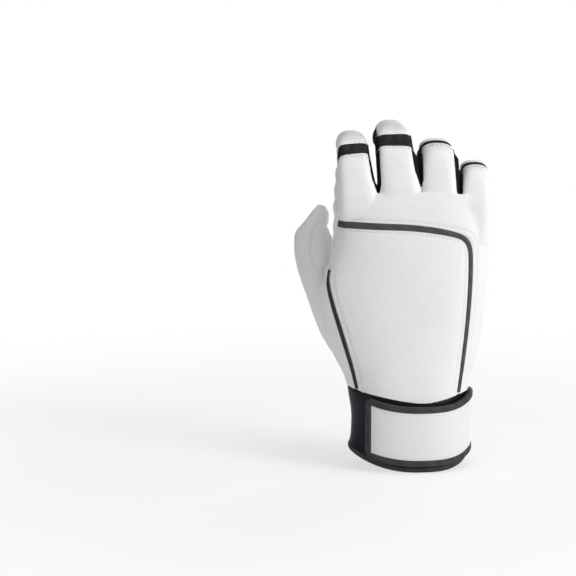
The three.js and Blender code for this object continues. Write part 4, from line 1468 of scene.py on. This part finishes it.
class GLOVE_OT_hand_leather(bpy.types.Operator):
    """Cuts and sews the palm, heel, back, yoke and thumb side panels and the gussets between the fingers"""

    bl_idname = "glove.hand_leather"
    bl_label = "Hand leather"

    def execute(self, context):
        build_form()
        make_materials()
        split_form()
        gussets, leather = cut(FORM["hand"], FORM["hand"]["gusset"])
        middles = [at_along(line, ROOT_ALONG)["at"][0] for line in LINES]
        across = gussets["points"][gussets["faces"]].mean(axis=1)[:, 0]
        for index in range(len(FINGERS) - 1):
            here = (across > middles[index]) & (across < middles[index + 1])
            name = f"{FINGERS[index]['name']}_{FINGERS[index + 1]['name']}_gusset"
            part = fill_slit(tidy(gussets, gussets["faces"][here]), index)
            sewn_panel(name + "_knit", part, [name], at_split(part), **GUSSET_KNIT)
        front, back = cut(leather, leather["front"])
        heel, palm = cut(front, front["heel"])
        thumb_side, rest = cut(back, back["thumb_side"])
        centre, yoke = cut(rest, rest["centre"])
        sewn_panel("palm_leather", palm, ["palm_panel"], at_split(palm))
        sewn_panel("heel_leather", heel, ["heel_panel"], at_split(heel))
        sewn_panel("thumb_side_leather", thumb_side, ["thumb_side_panel"], at_split(thumb_side))
        sewn_panel("back_leather", centre, ["back_panel"], at_cuff(centre))
        sewn_panel("yoke_leather", yoke, ["yoke_panel"], at_cuff(yoke))
        return {"FINISHED"}


class GLOVE_OT_fingers(bpy.types.Operator):
    """Sews each finger past its middle knuckle: front, back, gusset and stretch band"""

    bl_idname = "glove.fingers"
    bl_label = "Fingers"

    def execute(self, context):
        for index, finger in enumerate(FINGERS):
            name = finger["name"]
            crease, onward = FOLDS[index]
            half = onward * FLEX_BAND / 2
            bend = ("hand", name + "_tip", crease - half, crease + half)
            gusset, leather = cut(FORM[name], FORM[name]["gusset"])
            front, back = cut(leather, leather["away"] - PLAIN_SEAM)
            back["onward"] = back["past_fold"] - finger["slant"] * back["aside"]
            tip, band = cut(back, back["onward"] - FLEX_BAND / 2)
            if finger["band_low"] > -FLEX_BAND / 2:
                band, below = cut(band, band["onward"] - finger["band_low"])
                sewn_panel(name + "_knuckle_leather", below, [], at_split(below), bend=bend)
            past_rim = tip["onward"] - FLEX_BAND / 2 - BAND_RIM["past"]
            push(tip, finger["rim"] * bell(past_rim, BAND_RIM["wide"]))
            sewn_panel(name + "_front_leather", front, [name + "_tip_front"], at_split(front), bend=bend)
            sewn_panel(name + "_back_leather", tip, [name + "_tip_back"], bend=bend)
            nodes = [name + "_tip_gusset"]
            sewn_panel(name + "_gusset_knit", gusset, nodes, at_split(gusset), bend=bend, **GUSSET_KNIT)
            self.stretch_band(name, band, bend)
        return {"FINISHED"}

    def stretch_band(self, name, band, bend):
        """A ribbed band, drawn in a little below the leather at its edges."""
        sizes = bpy.context.scene.glove_sizes
        ribs = np.cos(band["onward"] * 2 * np.pi / (sizes.rib_pitch / MM))
        edge = 1 - bell(to_edge(band), BAND_SHAPE["edge"])
        push(band, sizes.rib_rise / MM * ribs * edge - BAND_SHAPE["sunk"])
        nodes = [name + "_flex_band"]
        lined_panel(name + "_stretch_band", band, nodes, bend, material="band", slot="flex_fabric")


class GLOVE_OT_thumb(bpy.types.Operator):
    """Sews the thumb past its fold, with the oval pad over the joint"""

    bl_idname = "glove.thumb"
    bl_label = "Thumb"

    def execute(self, context):
        reach = THUMB_SPOT["ahead"] * THUMB_BLEND
        bend = ("hand", "thumb_tip", THUMB_CREASE - reach, THUMB_CREASE + reach)
        front, back = cut(FORM["thumb"], FORM["thumb"]["thumb_front"])
        sewn_panel("thumb_front_leather", front, ["thumb_tip_front"], at_split(front), bend=bend)
        sewn_panel("thumb_back_leather", back, ["thumb_tip_back"], at_split(back), bend=bend)
        self.joint_pad(bend)
        return {"FINISHED"}

    def joint_pad(self, bend):
        """An oval of leather sewn over the thumb's joint."""
        skin = FORM["skin"]
        x, y, z = skin["points"].T
        across, up = x - THUMB_OVAL["x"], z - THUMB_OVAL["z"]
        shape = 1 - (across / THUMB_OVAL["half"]) ** 2 - (up / THUMB_OVAL["tall"]) ** 2
        on_back = (y < thumb_seam_depth(z)) & (skin["thumb_near"] < JOINT_PAD["near"])
        pad, _ = cut(skin, np.where(on_back, shape, -1))
        across, up = pad["points"][:, 0] - THUMB_OVAL["x"], pad["points"][:, 2] - THUMB_OVAL["z"]
        reach = np.hypot(across / THUMB_OVAL["half"], up / THUMB_OVAL["tall"])
        wrinkle = JOINT_WRINKLE["deep"] * bell(reach - JOINT_WRINKLE["at"], JOINT_WRINKLE["wide"])
        wrinkle = wrinkle * mix(JOINT_WRINKLE["below"], 1, smooth(up / JOINT_WRINKLE["over"]))
        swell = JOINT_PAD["rise"] * (1 - bell(to_edge(pad), JOINT_PAD["edge"]))
        push(pad, JOINT_PAD["base"] + swell - wrinkle)
        lined_panel("thumb_joint_pad", pad, ["thumb_bend_panel"], bend)


# Piping

TAPE = {"around": 18, "squareness": 3, "below": 0.7, "sunk": 0.1}
SETTLE = {"rounds": 3, "passes": 12, "bridge": 0.8}


def ribbon_rings(path, normals, widths, rise):
    """Rounded sections of a tape along a path on the leather."""
    ahead = unit(np.gradient(path, axis=0))
    side = unit(np.cross(normals, ahead))
    normal = np.cross(ahead, side)
    turn = np.linspace(0, 2 * np.pi, TAPE["around"], endpoint=False)
    across = signed_power(np.cos(turn), TAPE["squareness"])
    out = signed_power(np.sin(turn), TAPE["squareness"])
    rise = np.broadcast_to(rise, len(path))
    rings = []
    for k in range(len(path)):
        height = np.where(out > 0, out * rise[k], out * TAPE["below"]) - TAPE["sunk"]
        rings.append(path[k] + side[k] * (across * widths[k] / 2)[:, None] + normal[k] * height[:, None])
    return rings


def on_back(line):
    """A line across and up the hand, laid on the back of the glove."""
    laid = [seen_from_back(x, z) for x, z in line]
    return settle(np.array([spot for spot in laid if spot is not None and spot[1] < DEEPEST]))


def settle(path):
    """A path drawn smooth on the outside of the glove, bridging narrow creases, with its normals."""
    for _ in range(SETTLE["rounds"]):
        path = averaged(path, SETTLE["passes"])
        found, normals = (np.array(each) for each in zip(*[surface(point) for point in path]))
        height = ((path - found) * normals).sum(axis=1)
        path = found + normals * np.clip(height, 0, SETTLE["bridge"])[:, None]
    return path, unit(averaged(normals, SETTLE["passes"]))


def averaged(rows, passes):
    """Rows of numbers drawn smooth between their first and last."""
    rows = rows.copy()
    for _ in range(passes):
        rows[1:-1] = (rows[:-2] + 2 * rows[1:-1] + rows[2:]) / 4
    return rows


class GLOVE_OT_piping(bpy.types.Operator):
    """Lays the dark tape along the knuckle seam and the thumb seam"""

    bl_idname = "glove.piping"
    bl_label = "Piping"

    def execute(self, context):
        rise = context.scene.glove_sizes.piping_rise / MM
        for name, line, marks, widths, material in (
            ("knuckle_piping", knuckle_line(), (0, 0.35, 0.48, 1), (4.2, 3.7, 2.8, 2.4), "piping"),
            # The thumb's tape is the knuckle's tape with painted shade, drawn darker
            ("thumb_piping", thumb_line_on_back(), (0, 0.12, 0.4, 1), (1, 2.5, 2.7, 2.3), "shaded_piping"),
        ):
            path, normals = on_back(line)
            width = np.interp(np.linspace(0, 1, len(path)), marks, widths)
            tape = loft_piece(name + "_tape", ribbon_rings(path, normals, width, rise))
            finish(tape, material, [name], body="hand")
        return {"FINISHED"}


class GLOVE_OT_seams(bpy.types.Operator):
    """Lays grey cords in the palm's seams, partly thread and partly painted shade of the seam grooves, and
    raises the seam beside the index finger
    """

    bl_idname = "glove.seams"
    bl_label = "Seams"

    def execute(self, context):
        # These grey cords are partly the seams' thread and partly painted shade standing in for the seams'
        # grooves
        for name, path in (("heel_seam_thread_and_shade", self.heel()), ("side_seam_thread_and_shade", self.little_side())):
            path, normals = settle(path)
            widths = np.full(len(path), SEAM_THREAD_AND_SHADE["wide"])
            rings = ribbon_rings(path, normals, widths, SEAM_THREAD_AND_SHADE["rise"])
            finish(loft_piece(name, rings), "thread", body="hand")
        path, normals = settle(spline(SEAM_FIN["path"]))
        share = np.linspace(0, 1, len(path))
        (ripple, ripples), (waver, wavers) = SEAM_FIN["ripple"], SEAM_FIN["waver"]
        ends = np.sin(np.pi * share) ** SEAM_FIN["ends"]
        rise = SEAM_FIN["rise"] * ends * (1 + ripple * np.sin(share * ripples))
        path[:, 1] += waver * np.sin(share * wavers)
        rings = ribbon_rings(path, normals, np.full(len(path), SEAM_FIN["thick"]), rise)
        finish(loft_piece("index_seam_fin", rings), "leather", body="hand")
        return {"FINISHED"}

    def heel(self):
        line = spline(HEEL_SEAM)
        line = line[line[:, 0] < HEEL_THREAD_AND_SHADE["end"]]
        line = line[line[:, 1] > leather_edge(line[:, 0], FAR) + HEEL_THREAD_AND_SHADE["foot"]]
        return np.array([seen((x, FAR, z), (0, -1, 0)) for x, z in line])

    def little_side(self):
        heights = np.arange(*SIDE_THREAD_AND_SHADE, 1.0)
        depths = side_seam_depth(FAR, heights)
        return np.array([seen((FAR, y, z), (-1, 0, 0)) for y, z in zip(depths, heights)])


# Cuff and strap


def cuff_point(degrees, offset, z):
    turn = np.radians(degrees)
    x = CUFF["middle"] + (CUFF["half_width"] + offset) * signed_power(np.cos(turn), CUFF["squareness"])
    y = (CUFF["half_depth"] + offset) * signed_power(np.sin(turn), CUFF["squareness"])
    return np.stack(np.broadcast_arrays(x, y, z), axis=-1)


def hem_at(degrees):
    """Height of the hem's lower edge: lowest towards the little finger's side, highest at the sides."""
    spot = cuff_point(degrees, 0, 0.0)
    x, y = spot[..., 0], spot[..., 1]
    low, wide, middle = HEM_RISE["low_at"], CUFF["half_width"], CUFF["middle"]
    start = np.where(y < 0, low, middle)
    thumb_side = x < start
    rise = np.where(thumb_side, HEM_RISE["thumb"], HEM_RISE["little"])
    reach = np.where(thumb_side, start - middle + wide, middle + wide - start)
    back_curve = np.where(thumb_side, HEM_RISE["thumb_curve"], HEM_RISE["little_curve"])
    curve = np.where(y < 0, back_curve, HEM_RISE["palm_curve"])
    return HEM["base"] + rise * (np.abs(x - start) / reach) ** curve


def cuff_top_at(degrees):
    spot = cuff_point(degrees, 0, 0.0)
    return leather_edge(spot[..., 0], spot[..., 1])


def strap_low(degrees):
    return hem_at(degrees) + STRAP["low"]


TURN = math.degrees(1 / CUFF["half_width"])  # angle round the cuff for a millimetre along it
SLIT_HALF = SLIT_WIDTH / 2 * TURN
SLIT_END, SLIT_START = SLIT_AT + SLIT_HALF, SLIT_AT - SLIT_HALF + 360


def rounded_profile(wide, tall, count=16, squareness=3.2):
    """A rounded block's outline about its middle."""
    turn = np.linspace(0, 2 * np.pi, count, endpoint=False)
    across = wide / 2 * signed_power(np.cos(turn), squareness)
    out = tall / 2 * signed_power(np.sin(turn), squareness)
    return np.stack([across, out], axis=1)


def corner_rise(degrees):
    """How much higher the cuff's edge is where its corner is rounded off beside the slit."""
    short = np.clip(SLIT_CORNER - (degrees - SLIT_END) / TURN, 0, SLIT_CORNER)
    return SLIT_CORNER - np.sqrt(SLIT_CORNER**2 - short**2)


def bound_edge(name, path, wide):
    """A tape folded over an edge of the cuff, along a path of lengths round it and heights."""
    path = evenly(path, EDGE_TAPE["step"])
    ahead = unit(np.gradient(path, axis=0))
    aside = np.stack([-ahead[:, 1], ahead[:, 0]], axis=1)
    profile = rounded_profile(wide, CUFF["thick"] + 2 * HEM["proud"])
    rings = []
    for spot, way in zip(path, aside):
        across = spot + way * profile[:, :1]
        over_leather = ramp(spot[1] - cuff_top_at(spot[0] * TURN), *EDGE_TAPE["leather_from"])
        offset = profile[:, 1] - CUFF["thick"] / 2 + EDGE_TAPE["out"]
        offset = offset + EDGE_TAPE["over_leather"] * over_leather
        rings.append(cuff_point(across[:, 0] * TURN, offset, across[:, 1]))
    return loft_piece(name, rings)


class GLOVE_OT_cuff(bpy.types.Operator):
    """Forms the neoprene cuff, its bound hem, its bound slit and the loop patch"""

    bl_idname = "glove.cuff"
    bl_label = "Cuff"

    def execute(self, context):
        self.band()
        self.hem()
        self.slit()
        self.loops()
        return {"FINISHED"}

    def band(self):
        around, up = CUFF_WALL["grid"]
        degrees = np.linspace(SLIT_END + 1, SLIT_START - 1, around)
        low = hem_at(degrees) + corner_rise(degrees) + CUFF_WALL["below"]
        high = cuff_top_at(degrees) + CUFF_WALL["above"]
        thumb_side = ramp(-np.cos(np.radians(degrees)), *CUFF_WAIST["thumb_side"])
        rows = []
        for t in np.linspace(0, 1, up):
            bow = math.sin(math.pi * t)
            tuck = -CUFF_TUCK["in"] * ramp(t, *CUFF_TUCK["from"])
            flare = CUFF_FLARE["out"] * fade(t, *CUFF_FLARE["to"]) - CUFF_FLARE["in"] * bow * (1 - t)
            waist = CUFF_WAIST["out"] * ramp(t, *CUFF_WAIST["from"]) - CUFF_WAIST["in"] * bow
            rows.append(cuff_point(degrees, tuck + flare + waist * thumb_side, mix(low, high, t)))
        cuff = grid_piece("cuff_neoprene", rows)
        thicken(cuff, CUFF["thick"] * MM, "neoprene", "lining")
        finish(cuff, "neoprene", ["cuff_band"], body="hand")

    def hem(self):
        degrees = np.linspace(SLIT_END + SLIT_CORNER * TURN, SLIT_START, HEM["points"])
        path = np.stack([degrees / TURN, hem_at(degrees) + HEM["height"] / 2], axis=1)
        hem = bound_edge("hem_tape", path, HEM["height"])
        finish(hem, "binding", ["hem_binding"], body="hand")

    def slit(self):
        """The tape of the slit's back edge, and the one that arches over the slit and rounds its corner."""
        back, palm = (SLIT_START - 360) / TURN, SLIT_END / TURN + SLIT_TAPE["beside"]
        top, half = cuff_top_at(SLIT_END) + SLIT_TAPE["above"], (palm - back) / 2
        over = np.radians(np.linspace(180, 0, SLIT_TAPE["arch"]))
        arch = np.stack([back + half + half * np.cos(over), top + half * np.sin(over)], axis=1)
        low = hem_at(SLIT_END + SLIT_CORNER * TURN) + HEM["height"] / 2
        count = SLIT_TAPE["points"]
        down = np.stack([np.full(count, palm), np.linspace(top, low + SLIT_CORNER, count)], axis=1)
        round_off = np.radians(np.linspace(180, 270, SLIT_TAPE["corner"]))
        corner = np.stack([np.cos(round_off), np.sin(round_off)], axis=1) * SLIT_CORNER
        corner = corner + (palm + SLIT_CORNER, low + SLIT_CORNER)
        at_back = np.linspace(hem_at(SLIT_START) + SLIT_TAPE["foot"], top, count)
        for name, path in (
            ("palm", np.vstack([arch, down[1:], corner[1:]])),
            ("back", np.stack([np.full(count, back), at_back], axis=1)),
        ):
            tape = bound_edge(f"slit_tape_{name}", path, SLIT_TAPE["wide"])
            finish(tape, "binding", ["slit_binding_" + name], body="hand")

    def loops(self):
        patch = pile_patch("loop_pile", PATCH["loops_at"], 1)
        finish(patch, "pile", ["loop_patch"], body="hand", angle=PILE["smooth_below"])


def pile_patch(name, offset, outward):
    """A patch of pile round the wrist, with a ragged surface."""
    degrees = np.linspace(PATCH["from"], PATCH["to"], PILE["grid"][0])
    low = strap_low(degrees) + PATCH["inset"]
    high = strap_low(degrees) + STRAP["height"] - PATCH["inset"]
    (along, along_row), (across, across_row) = PILE["round"], PILE["up"]
    rows = []
    for k, t in enumerate(np.linspace(0, 1, PILE["grid"][1])):
        rough = PILE["rough"] * np.sin(degrees * along + k * along_row)
        rough = rough * np.sin(k * across_row + degrees * across)
        rows.append(cuff_point(degrees, offset + rough * outward, mix(low, high, t)))
    patch = grid_piece(name, rows if outward > 0 else [row[::-1] for row in rows])
    thicken(patch, PATCH["thick"] * MM, "pile")
    return patch


def strap_arc():
    """Angles round the wrist by length along the strap."""
    degrees = np.linspace(STRAP["end"], SLIT_AT - SLIT_HALF - 1, STRAP_STEPS["length"])
    return degrees, run_of(cuff_point(degrees, STRAP_LINE, 0.0))


def on_strap(run, height, offset):
    """A place on the strap by its length along it, its height on it and its distance from the cuff."""
    degrees, length = strap_arc()
    at = np.interp(run, length, degrees)
    lean = STRAP["lean"] * ramp(height, STRAP["height"] / 2, STRAP_LEAN["over"])
    lean = lean * ramp(at, *STRAP_LEAN["from"])
    return cuff_point(at, offset + lean, strap_low(at) + height)


def strap_outline(length):
    """The strap's long edges and its rounded free end, with the way inwards at each point."""
    height, radius = STRAP["height"], STRAP["corner"]
    rows = [(length, 0, 0, 1)]
    for y, start in ((radius, 270), (height - radius, 180)):
        for turn in np.radians(np.linspace(start, start - 90, STRAP_STEPS["corner"])):
            across, up = math.cos(turn), math.sin(turn)
            rows.append((radius + radius * across, y + radius * up, -across, -up))
    rows.append((length, height, 0, -1))
    rows = evenly(rows, STRAP_STEPS["border"])
    return rows[:, :2], unit(rows[:, 2:])


class GLOVE_OT_strap(bpy.types.Operator):
    """Forms the closing strap: white face, backing, bound border and hook patch"""

    bl_idname = "glove.strap"
    bl_label = "Strap"

    def execute(self, context):
        length = strap_arc()[1][-1]
        self.face(length)
        self.backing(length)
        self.border(length)
        hooks = pile_patch("hook_pile", PATCH["hooks_at"], -1)
        finish(hooks, "pile", ["hook_patch"], body="strap", angle=PILE["smooth_below"])
        return {"FINISHED"}

    def face(self, length):
        inset = STRAP["border"] - STRAP_FACE["inset"]
        along, up = STRAP_FACE["grid"]
        run = np.linspace(inset, length, along)
        rows = []
        for height in np.linspace(inset, STRAP["height"] - inset, up):
            edge = np.minimum(run, min(height, STRAP["height"] - height)) - inset
            swell = STRAP_FACE["swell"] * (1 - bell(edge, STRAP_FACE["edge"]))
            rows.append(on_strap(run, height, STRAP_FACE["at"] + swell))
        face = grid_piece("strap_white_face", rows)
        thicken(face, STRAP_FACE["thick"] * MM, "strap")
        finish(face, "strap", ["strap_face"], body="strap")

    def backing(self, length):
        inset = STRAP["border"] - STRAP_BACKING["inset"]
        along, up = STRAP_BACKING["grid"]
        run = np.linspace(inset, length, along)
        heights = np.linspace(inset, STRAP["height"] - inset, up)
        rows = [on_strap(run, height, STRAP_BACKING["at"]) for height in heights]
        backing = grid_piece("strap_neoprene_backing", rows)
        thicken(backing, STRAP_BACKING["thick"] * MM, "neoprene")
        finish(backing, "neoprene", ["strap_backing"], body="strap")

    def border(self, length):
        outline, inward = strap_outline(length)
        around, squareness = STRAP_BORDER["around"], STRAP_BORDER["squareness"]
        profile = rounded_profile(STRAP["border"], STRAP_BORDER["thick"], around, squareness)
        from_groove = (profile[:, 0] - BORDER_GROOVE["at"]) ** 2 / BORDER_GROOVE["wide"]
        groove = BORDER_GROOVE["deep"] * np.exp(-from_groove) * (profile[:, 1] > 0)
        rings = []
        for point, way in zip(outline, inward):
            spots = point + way * (profile[:, :1] + STRAP["border"] / 2)
            rings.append(on_strap(spots[:, 0], spots[:, 1], profile[:, 1] + STRAP_LINE - groove))
        border = loft_piece("strap_bound_border", rings)
        finish(border, "binding", ["strap_binding"], body="strap")


# Stitching


def stitch_run(path, normals, sizes):
    """Places and directions of stitches along a path on the leather."""
    both = evenly(np.hstack([path, normals]), sizes.stitch_pitch / MM)
    spots, normal = both[:, :3], unit(both[:, 3:])
    return spots, normal, unit(np.gradient(spots, axis=0))


def sew(name, runs, body):
    """One piece of all the stitches of a body."""
    sizes = bpy.context.scene.glove_sizes
    bpy.ops.object.select_all(action="DESELECT")
    bpy.ops.mesh.primitive_uv_sphere_add(segments=6, ring_count=4, radius=1)
    model = bpy.context.object
    template = np.array([v.co for v in model.data.vertices])
    polygons = [list(p.vertices) for p in model.data.polygons]
    bpy.data.objects.remove(model)
    points, faces = [], []
    long, thin = sizes.stitch / MM / 2, sizes.thread / MM / 2
    bow = STITCH_BOW["out"] * (1 - template[:, 2] ** 2) - STITCH_BOW["sunk"]
    for path, normals in runs:
        for spot, normal, ahead in zip(*stitch_run(path, normals, sizes)):
            side = np.cross(normal, ahead)
            base = len(points) * len(template)
            shape = (
                ahead * (template[:, 2:] * long)
                + side * (template[:, :1] * thin)
                + normal * (template[:, 1:2] * thin * STITCH_BOW["flat"] + bow[:, None])
            )
            points.append(spot + shape)
            faces += [[base + k for k in polygon] for polygon in polygons]
    mesh = bpy.data.meshes.new(name)
    mesh.from_pydata(place(np.vstack(points)).tolist(), [], faces)
    thread = bpy.data.objects.new(name, mesh)
    bpy.context.scene.collection.objects.link(thread)
    finish(thread, "thread", body=body)


class GLOVE_OT_stitching(bpy.types.Operator):
    """Sews the stitch lines beside the piping and at the stretch bands"""

    bl_idname = "glove.stitching"
    bl_label = "Stitching"

    def execute(self, context):
        runs = [on_back(line) for line in stitch_lines()]
        for index in range(len(FINGERS)):
            runs.append(self.across_finger(index, -FLEX_BAND / 2 - BAND_STITCH))
        sew("hand_stitching", runs, "hand")
        for index, finger in enumerate(FINGERS):
            tip = finger["name"] + "_tip"
            sew(tip + "_stitching", [self.across_finger(index, FLEX_BAND / 2 + BAND_STITCH)], tip)
        return {"FINISHED"}

    def across_finger(self, index, past):
        """A line across the back of a finger, some way past its fold."""
        onward = FOLDS[index][1]
        spot = at_along(LINES[index], FINGERS[index]["lengths"][0])
        path, normals = [], []
        for turn in np.radians(np.linspace(*FINGER_BACK)):
            outside = spot["at"] + SIDE * spot["half"] * math.cos(turn)
            outside = outside + spot["palm"] * spot["depth"] * math.sin(turn)
            found, normal = surface(outside + onward * past)
            path.append(found)
            normals.append(normal)
        return np.array(path), np.array(normals)


# Studio


class GLOVE_OT_stage(bpy.types.Operator):
    """Sets the pale floor, the soft lights and the camera"""

    bl_idname = "glove.stage"
    bl_label = "Studio"

    def execute(self, context):
        self.floor()
        self.lights()
        self.camera()
        context.scene.view_settings.view_transform = "Standard"
        return {"FINISHED"}

    def floor(self):
        bpy.ops.object.select_all(action="DESELECT")
        bpy.ops.mesh.primitive_plane_add(size=6, location=(0, 0, 0))
        floor = bpy.context.object
        floor.name = "studio_floor"
        material = bpy.data.materials.new("studio_paper")
        material.use_nodes = True
        tree = material.node_tree
        tree.nodes.clear()
        tint = bpy.context.scene.glove_colours.floor
        paper = add_node(tree, "ShaderNodeBsdfDiffuse", {"Color": tint})
        glow = add_node(tree, "ShaderNodeEmission", {"Color": (1, 1, 1, 1), "Strength": 1.0})
        path = add_node(tree, "ShaderNodeLightPath")
        at = add_node(tree, "ShaderNodeTexCoord").outputs["Object"]
        away = add_node(tree, "ShaderNodeVectorMath", {0: at}, operation="LENGTH")
        paler = add_node(
            tree,
            "ShaderNodeMapRange",
            {
                "Value": away.outputs["Value"],
                "From Min": 0.12,
                "From Max": 0.5,
                "To Min": 0.66,
                "To Max": 1.0,
            },
            interpolation_type="SMOOTHSTEP",
        )
        half = add_node(
            tree,
            "ShaderNodeMath",
            {0: path.outputs["Is Camera Ray"], 1: paler.outputs["Result"]},
            operation="MULTIPLY",
        )
        shaders = {0: half.outputs[0], 1: paper.outputs[0], 2: glow.outputs[0]}
        mixed = add_node(tree, "ShaderNodeMixShader", shaders)
        add_node(tree, "ShaderNodeOutputMaterial", {"Surface": mixed.outputs[0]})
        floor.data.materials.append(material)

    def lights(self):
        world = bpy.data.worlds.new("studio_air")
        bpy.context.scene.world = world
        world.use_nodes = True
        tree = world.node_tree
        tree.nodes.clear()
        path = add_node(tree, "ShaderNodeLightPath")
        seen = add_node(
            tree,
            "ShaderNodeMath",
            {0: path.outputs["Is Camera Ray"], 1: path.outputs["Is Transmission Ray"]},
            operation="MAXIMUM",
        )
        soft = add_node(tree, "ShaderNodeBackground", {"Color": (1, 1, 1, 1), "Strength": 0.22})
        white = add_node(tree, "ShaderNodeBackground", {"Color": (1, 1, 1, 1), "Strength": 1.0})
        shaders = {0: seen.outputs[0], 1: soft.outputs[0], 2: white.outputs[0]}
        mixed = add_node(tree, "ShaderNodeMixShader", shaders)
        add_node(tree, "ShaderNodeOutputWorld", {"Surface": mixed.outputs[0]})
        for name, at, size, power in (
            ("key_softbox", (1.27, -0.85, 0.65), 0.55, 16),
            ("top_softbox", (0.3, -0.1, 1.5), 0.6, 7),
            ("fill_softbox", (-1.0, -0.8, 0.4), 1.0, 3),
            ("palm_softbox", (0.6, 1.15, 0.25), 0.5, 8.5),
        ):
            light = bpy.data.lights.new(name, "AREA")
            light.energy = power
            light.size = size
            lamp = bpy.data.objects.new(name, light)
            bpy.context.scene.collection.objects.link(lamp)
            lamp.location = at
            lamp.rotation_euler = (Vector((0, 0, 0.1)) - Vector(at)).to_track_quat("-Z", "Y").to_euler()

    def camera(self):
        lens, sensor, view_width = 150, 36, 345.6
        tilt = math.radians(9)
        distance = lens * view_width / sensor
        aim = np.array((-73.2, 0, 104))
        at = aim + distance * np.array((0, -math.cos(tilt), math.sin(tilt)))
        data = bpy.data.cameras.new("photo_camera")
        data.lens = lens
        data.sensor_width = sensor
        data.clip_end = 20
        camera = bpy.data.objects.new("photo_camera", data)
        bpy.context.scene.collection.objects.link(camera)
        camera.location = place(at)
        camera.rotation_euler = Vector(place(aim) - place(at)).to_track_quat("-Z", "Y").to_euler()
        bpy.context.scene.camera = camera


class GLOVE_PT_panel(bpy.types.Panel):
    """Lists the steps that make the glove"""

    bl_label = "Batting Glove"
    bl_idname = "GLOVE_PT_panel"
    bl_space_type = "VIEW_3D"
    bl_region_type = "UI"
    bl_category = "Glove"

    def draw(self, context):
        for step in STEPS:
            self.layout.operator(step.bl_idname)
        for group in (context.scene.glove_sizes, context.scene.glove_colours):
            for key in group.__annotations__:
                self.layout.prop(group, key)


STEPS = (
    GLOVE_OT_hand_leather,
    GLOVE_OT_fingers,
    GLOVE_OT_thumb,
    GLOVE_OT_piping,
    GLOVE_OT_seams,
    GLOVE_OT_cuff,
    GLOVE_OT_strap,
    GLOVE_OT_stitching,
    GLOVE_OT_stage,
)
CLASSES = (GloveSizes, GloveColours, *STEPS, GLOVE_PT_panel)


def register():
    for each in CLASSES:
        bpy.utils.register_class(each)
    bpy.types.Scene.glove_sizes = bpy.props.PointerProperty(type=GloveSizes)
    bpy.types.Scene.glove_colours = bpy.props.PointerProperty(type=GloveColours)


def unregister():
    del bpy.types.Scene.glove_colours
    del bpy.types.Scene.glove_sizes
    for each in reversed(CLASSES):
        bpy.utils.unregister_class(each)


def main():
    register()
    bpy.ops.glove.hand_leather()
    bpy.ops.glove.fingers()
    bpy.ops.glove.thumb()
    bpy.ops.glove.piping()
    bpy.ops.glove.seams()
    bpy.ops.glove.cuff()
    bpy.ops.glove.strap()
    bpy.ops.glove.stitching()
    bpy.ops.glove.stage()


if __name__ == "__main__":
    main()
